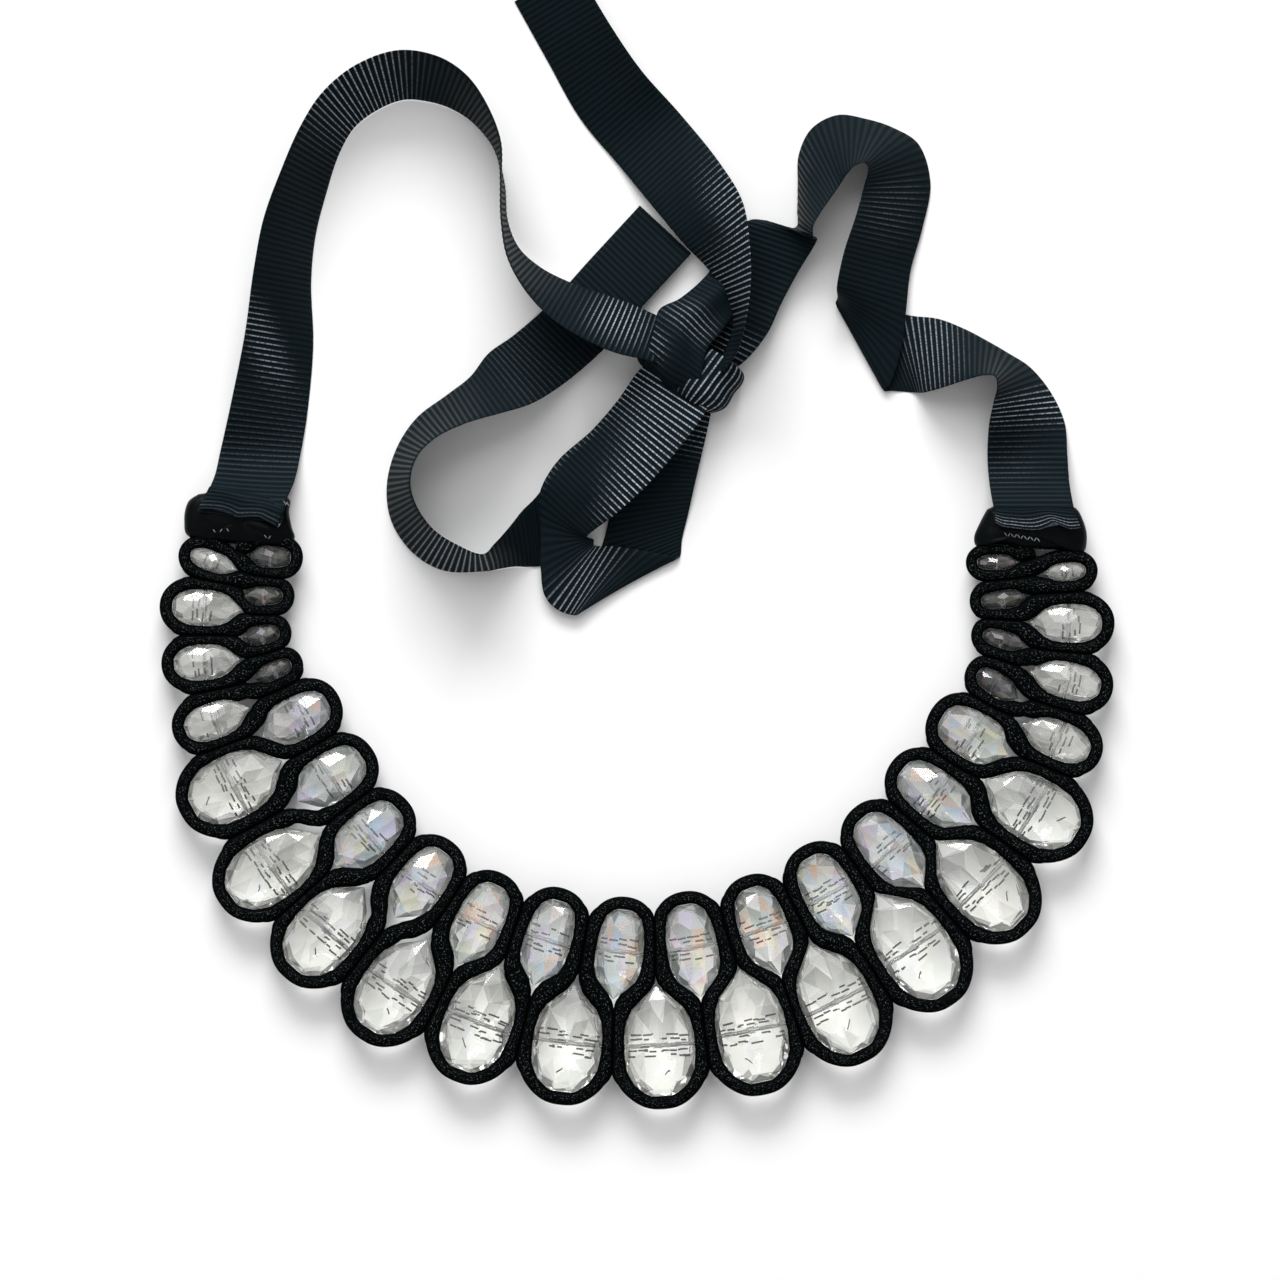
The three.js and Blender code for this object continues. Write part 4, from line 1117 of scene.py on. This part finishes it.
def satin():
    """The gathered ends' soft black satin, finely crumpled."""
    nodes = Nodes("satin")
    where = nodes.node("ShaderNodeTexCoord").outputs["Object"]
    cloud = nodes.noise(where, 220, 3)
    colour = nodes.mix(cloud, (0.0006, 0.0012, 0.0014), (0.002, 0.0032, 0.0036))
    nodes.paint(colour)
    nodes.bump(nodes.noise(where, 900, 3), 0.00012, 0.6)
    nodes.set(Roughness=0.34, Specular_IOR_Level=0.07)
    return nodes.material


def plain(name, colour, roughness):
    """One colour that is hardly uneven, for the thread and the floor."""
    nodes = Nodes(name)
    where = nodes.node("ShaderNodeTexCoord").outputs["Object"]
    nodes.paint(nodes.mix(nodes.noise(where, 3, 2), colour, tuple(c * 0.97 for c in colour)))
    nodes.set(Roughness=roughness)
    return nodes.material


# ---- building ----

draw = random.Random(11)
clear_glass = glass("clear_glass", 0.86)
# bright_glass: the clear glass made milkier, a brighter copy that paints more light on the narrow outer
# beads
bright_glass = glass("bright_glass", 0.8)
coated_glass = glass("coated_glass", 0.8)
cord_material = napped_cord()
ribbon_material = grosgrain()
satin_material = satin()

make_beads(outer_beads, "outer", clear_glass, bright_glass, "clear_crystal", draw)
make_beads(inner_beads, "inner", coated_glass, coated_glass, "iridescent_crystal", draw)
make_threads(cord_material)
new_piece("cord", cord_mesh(), cord_material, "velvet_cord", *[f"cord_{i}" for i in range(1, 7)])

for name, rows in [("left_tie", LEFT_TIE + LEFT_TIE_TUCKED), ("right_tie", RIGHT_TIE),
                   ("short_tail", SHORT_TAIL), ("long_tail", LONG_TAIL), ("bow_loop", BOW_LOOP)]:
    piece, length = make_ribbon(name, rows, name)
for name, rows, nodes in [("knot_wrap", KNOT_WRAP, ["knot"]), ("knot_under", KNOT_UNDER, [])]:
    piece, length = make_ribbon(name, rows, *nodes, pleats=1.5, fold=0.4, arch=1.6)

for side, tie, hem, outline, seed in [("left", LEFT_TIE, HEM_LEFT, GATHERED_LEFT, 3),
                                      ("right", RIGHT_TIE, HEM_RIGHT, GATHERED_RIGHT, 5)]:
    new_piece(f"gathered_{side}", gathered_mesh(f"gathered_{side}", outline, seed), satin_material,
              "satin_end", f"gathered_end_{side}")
    new_piece(f"hem_{side}", hem_mesh(f"hem_{side}", tie, **hem), ribbon_material, "grosgrain_ribbon")
new_piece("stitches", stitches_mesh(), plain("thread", (0.16, 0.17, 0.19), 0.4), "satin_end")

# ---- floor, light and camera, in metres ----

FLOOR_SIZE = 8
LENS = 400.0                     # long, so that what stands up leans outwards as little as it can
VIEW_WIDTH = 0.320               # what the picture takes in

bpy.ops.mesh.primitive_plane_add(size=FLOOR_SIZE)
floor = bpy.context.object
floor.name = "floor"
floor.data.materials.append(plain("floor", (0.93, 0.93, 0.93), 0.9))


def area_light(name, where, width, height, power):
    """A lamp that faces the necklace. power is in watts."""
    light = bpy.data.lights.new(name, "AREA")
    light.shape = "RECTANGLE"
    light.size, light.size_y = width, height
    light.energy = power
    lamp = new_object(name, light)
    lamp.location = where
    lamp.rotation_euler = (-Vector(where)).to_track_quat("-Z", "Y").to_euler()


area_light("key", (-0.27, 2.63, 1.48), 2.1, 0.9, 95)
area_light("top", (-0.36, 1.71, 2.43), 2.1, 1.8, 32)

world = bpy.data.worlds.new("studio")
world.use_nodes = True
background = world.node_tree.nodes["Background"].inputs
background["Color"].default_value = (1, 1, 1, 1)
background["Strength"].default_value = 0.46
bpy.context.scene.world = world
bpy.context.scene.view_settings.view_transform = "Standard"

camera_data = bpy.data.cameras.new("camera")
camera_data.lens = LENS
camera_data.clip_end = 50
camera = new_object("camera", camera_data)
camera.location = (SHIFT[0] / 1000, SHIFT[1] / 1000, VIEW_WIDTH * LENS / camera_data.sensor_width)
bpy.context.scene.camera = camera
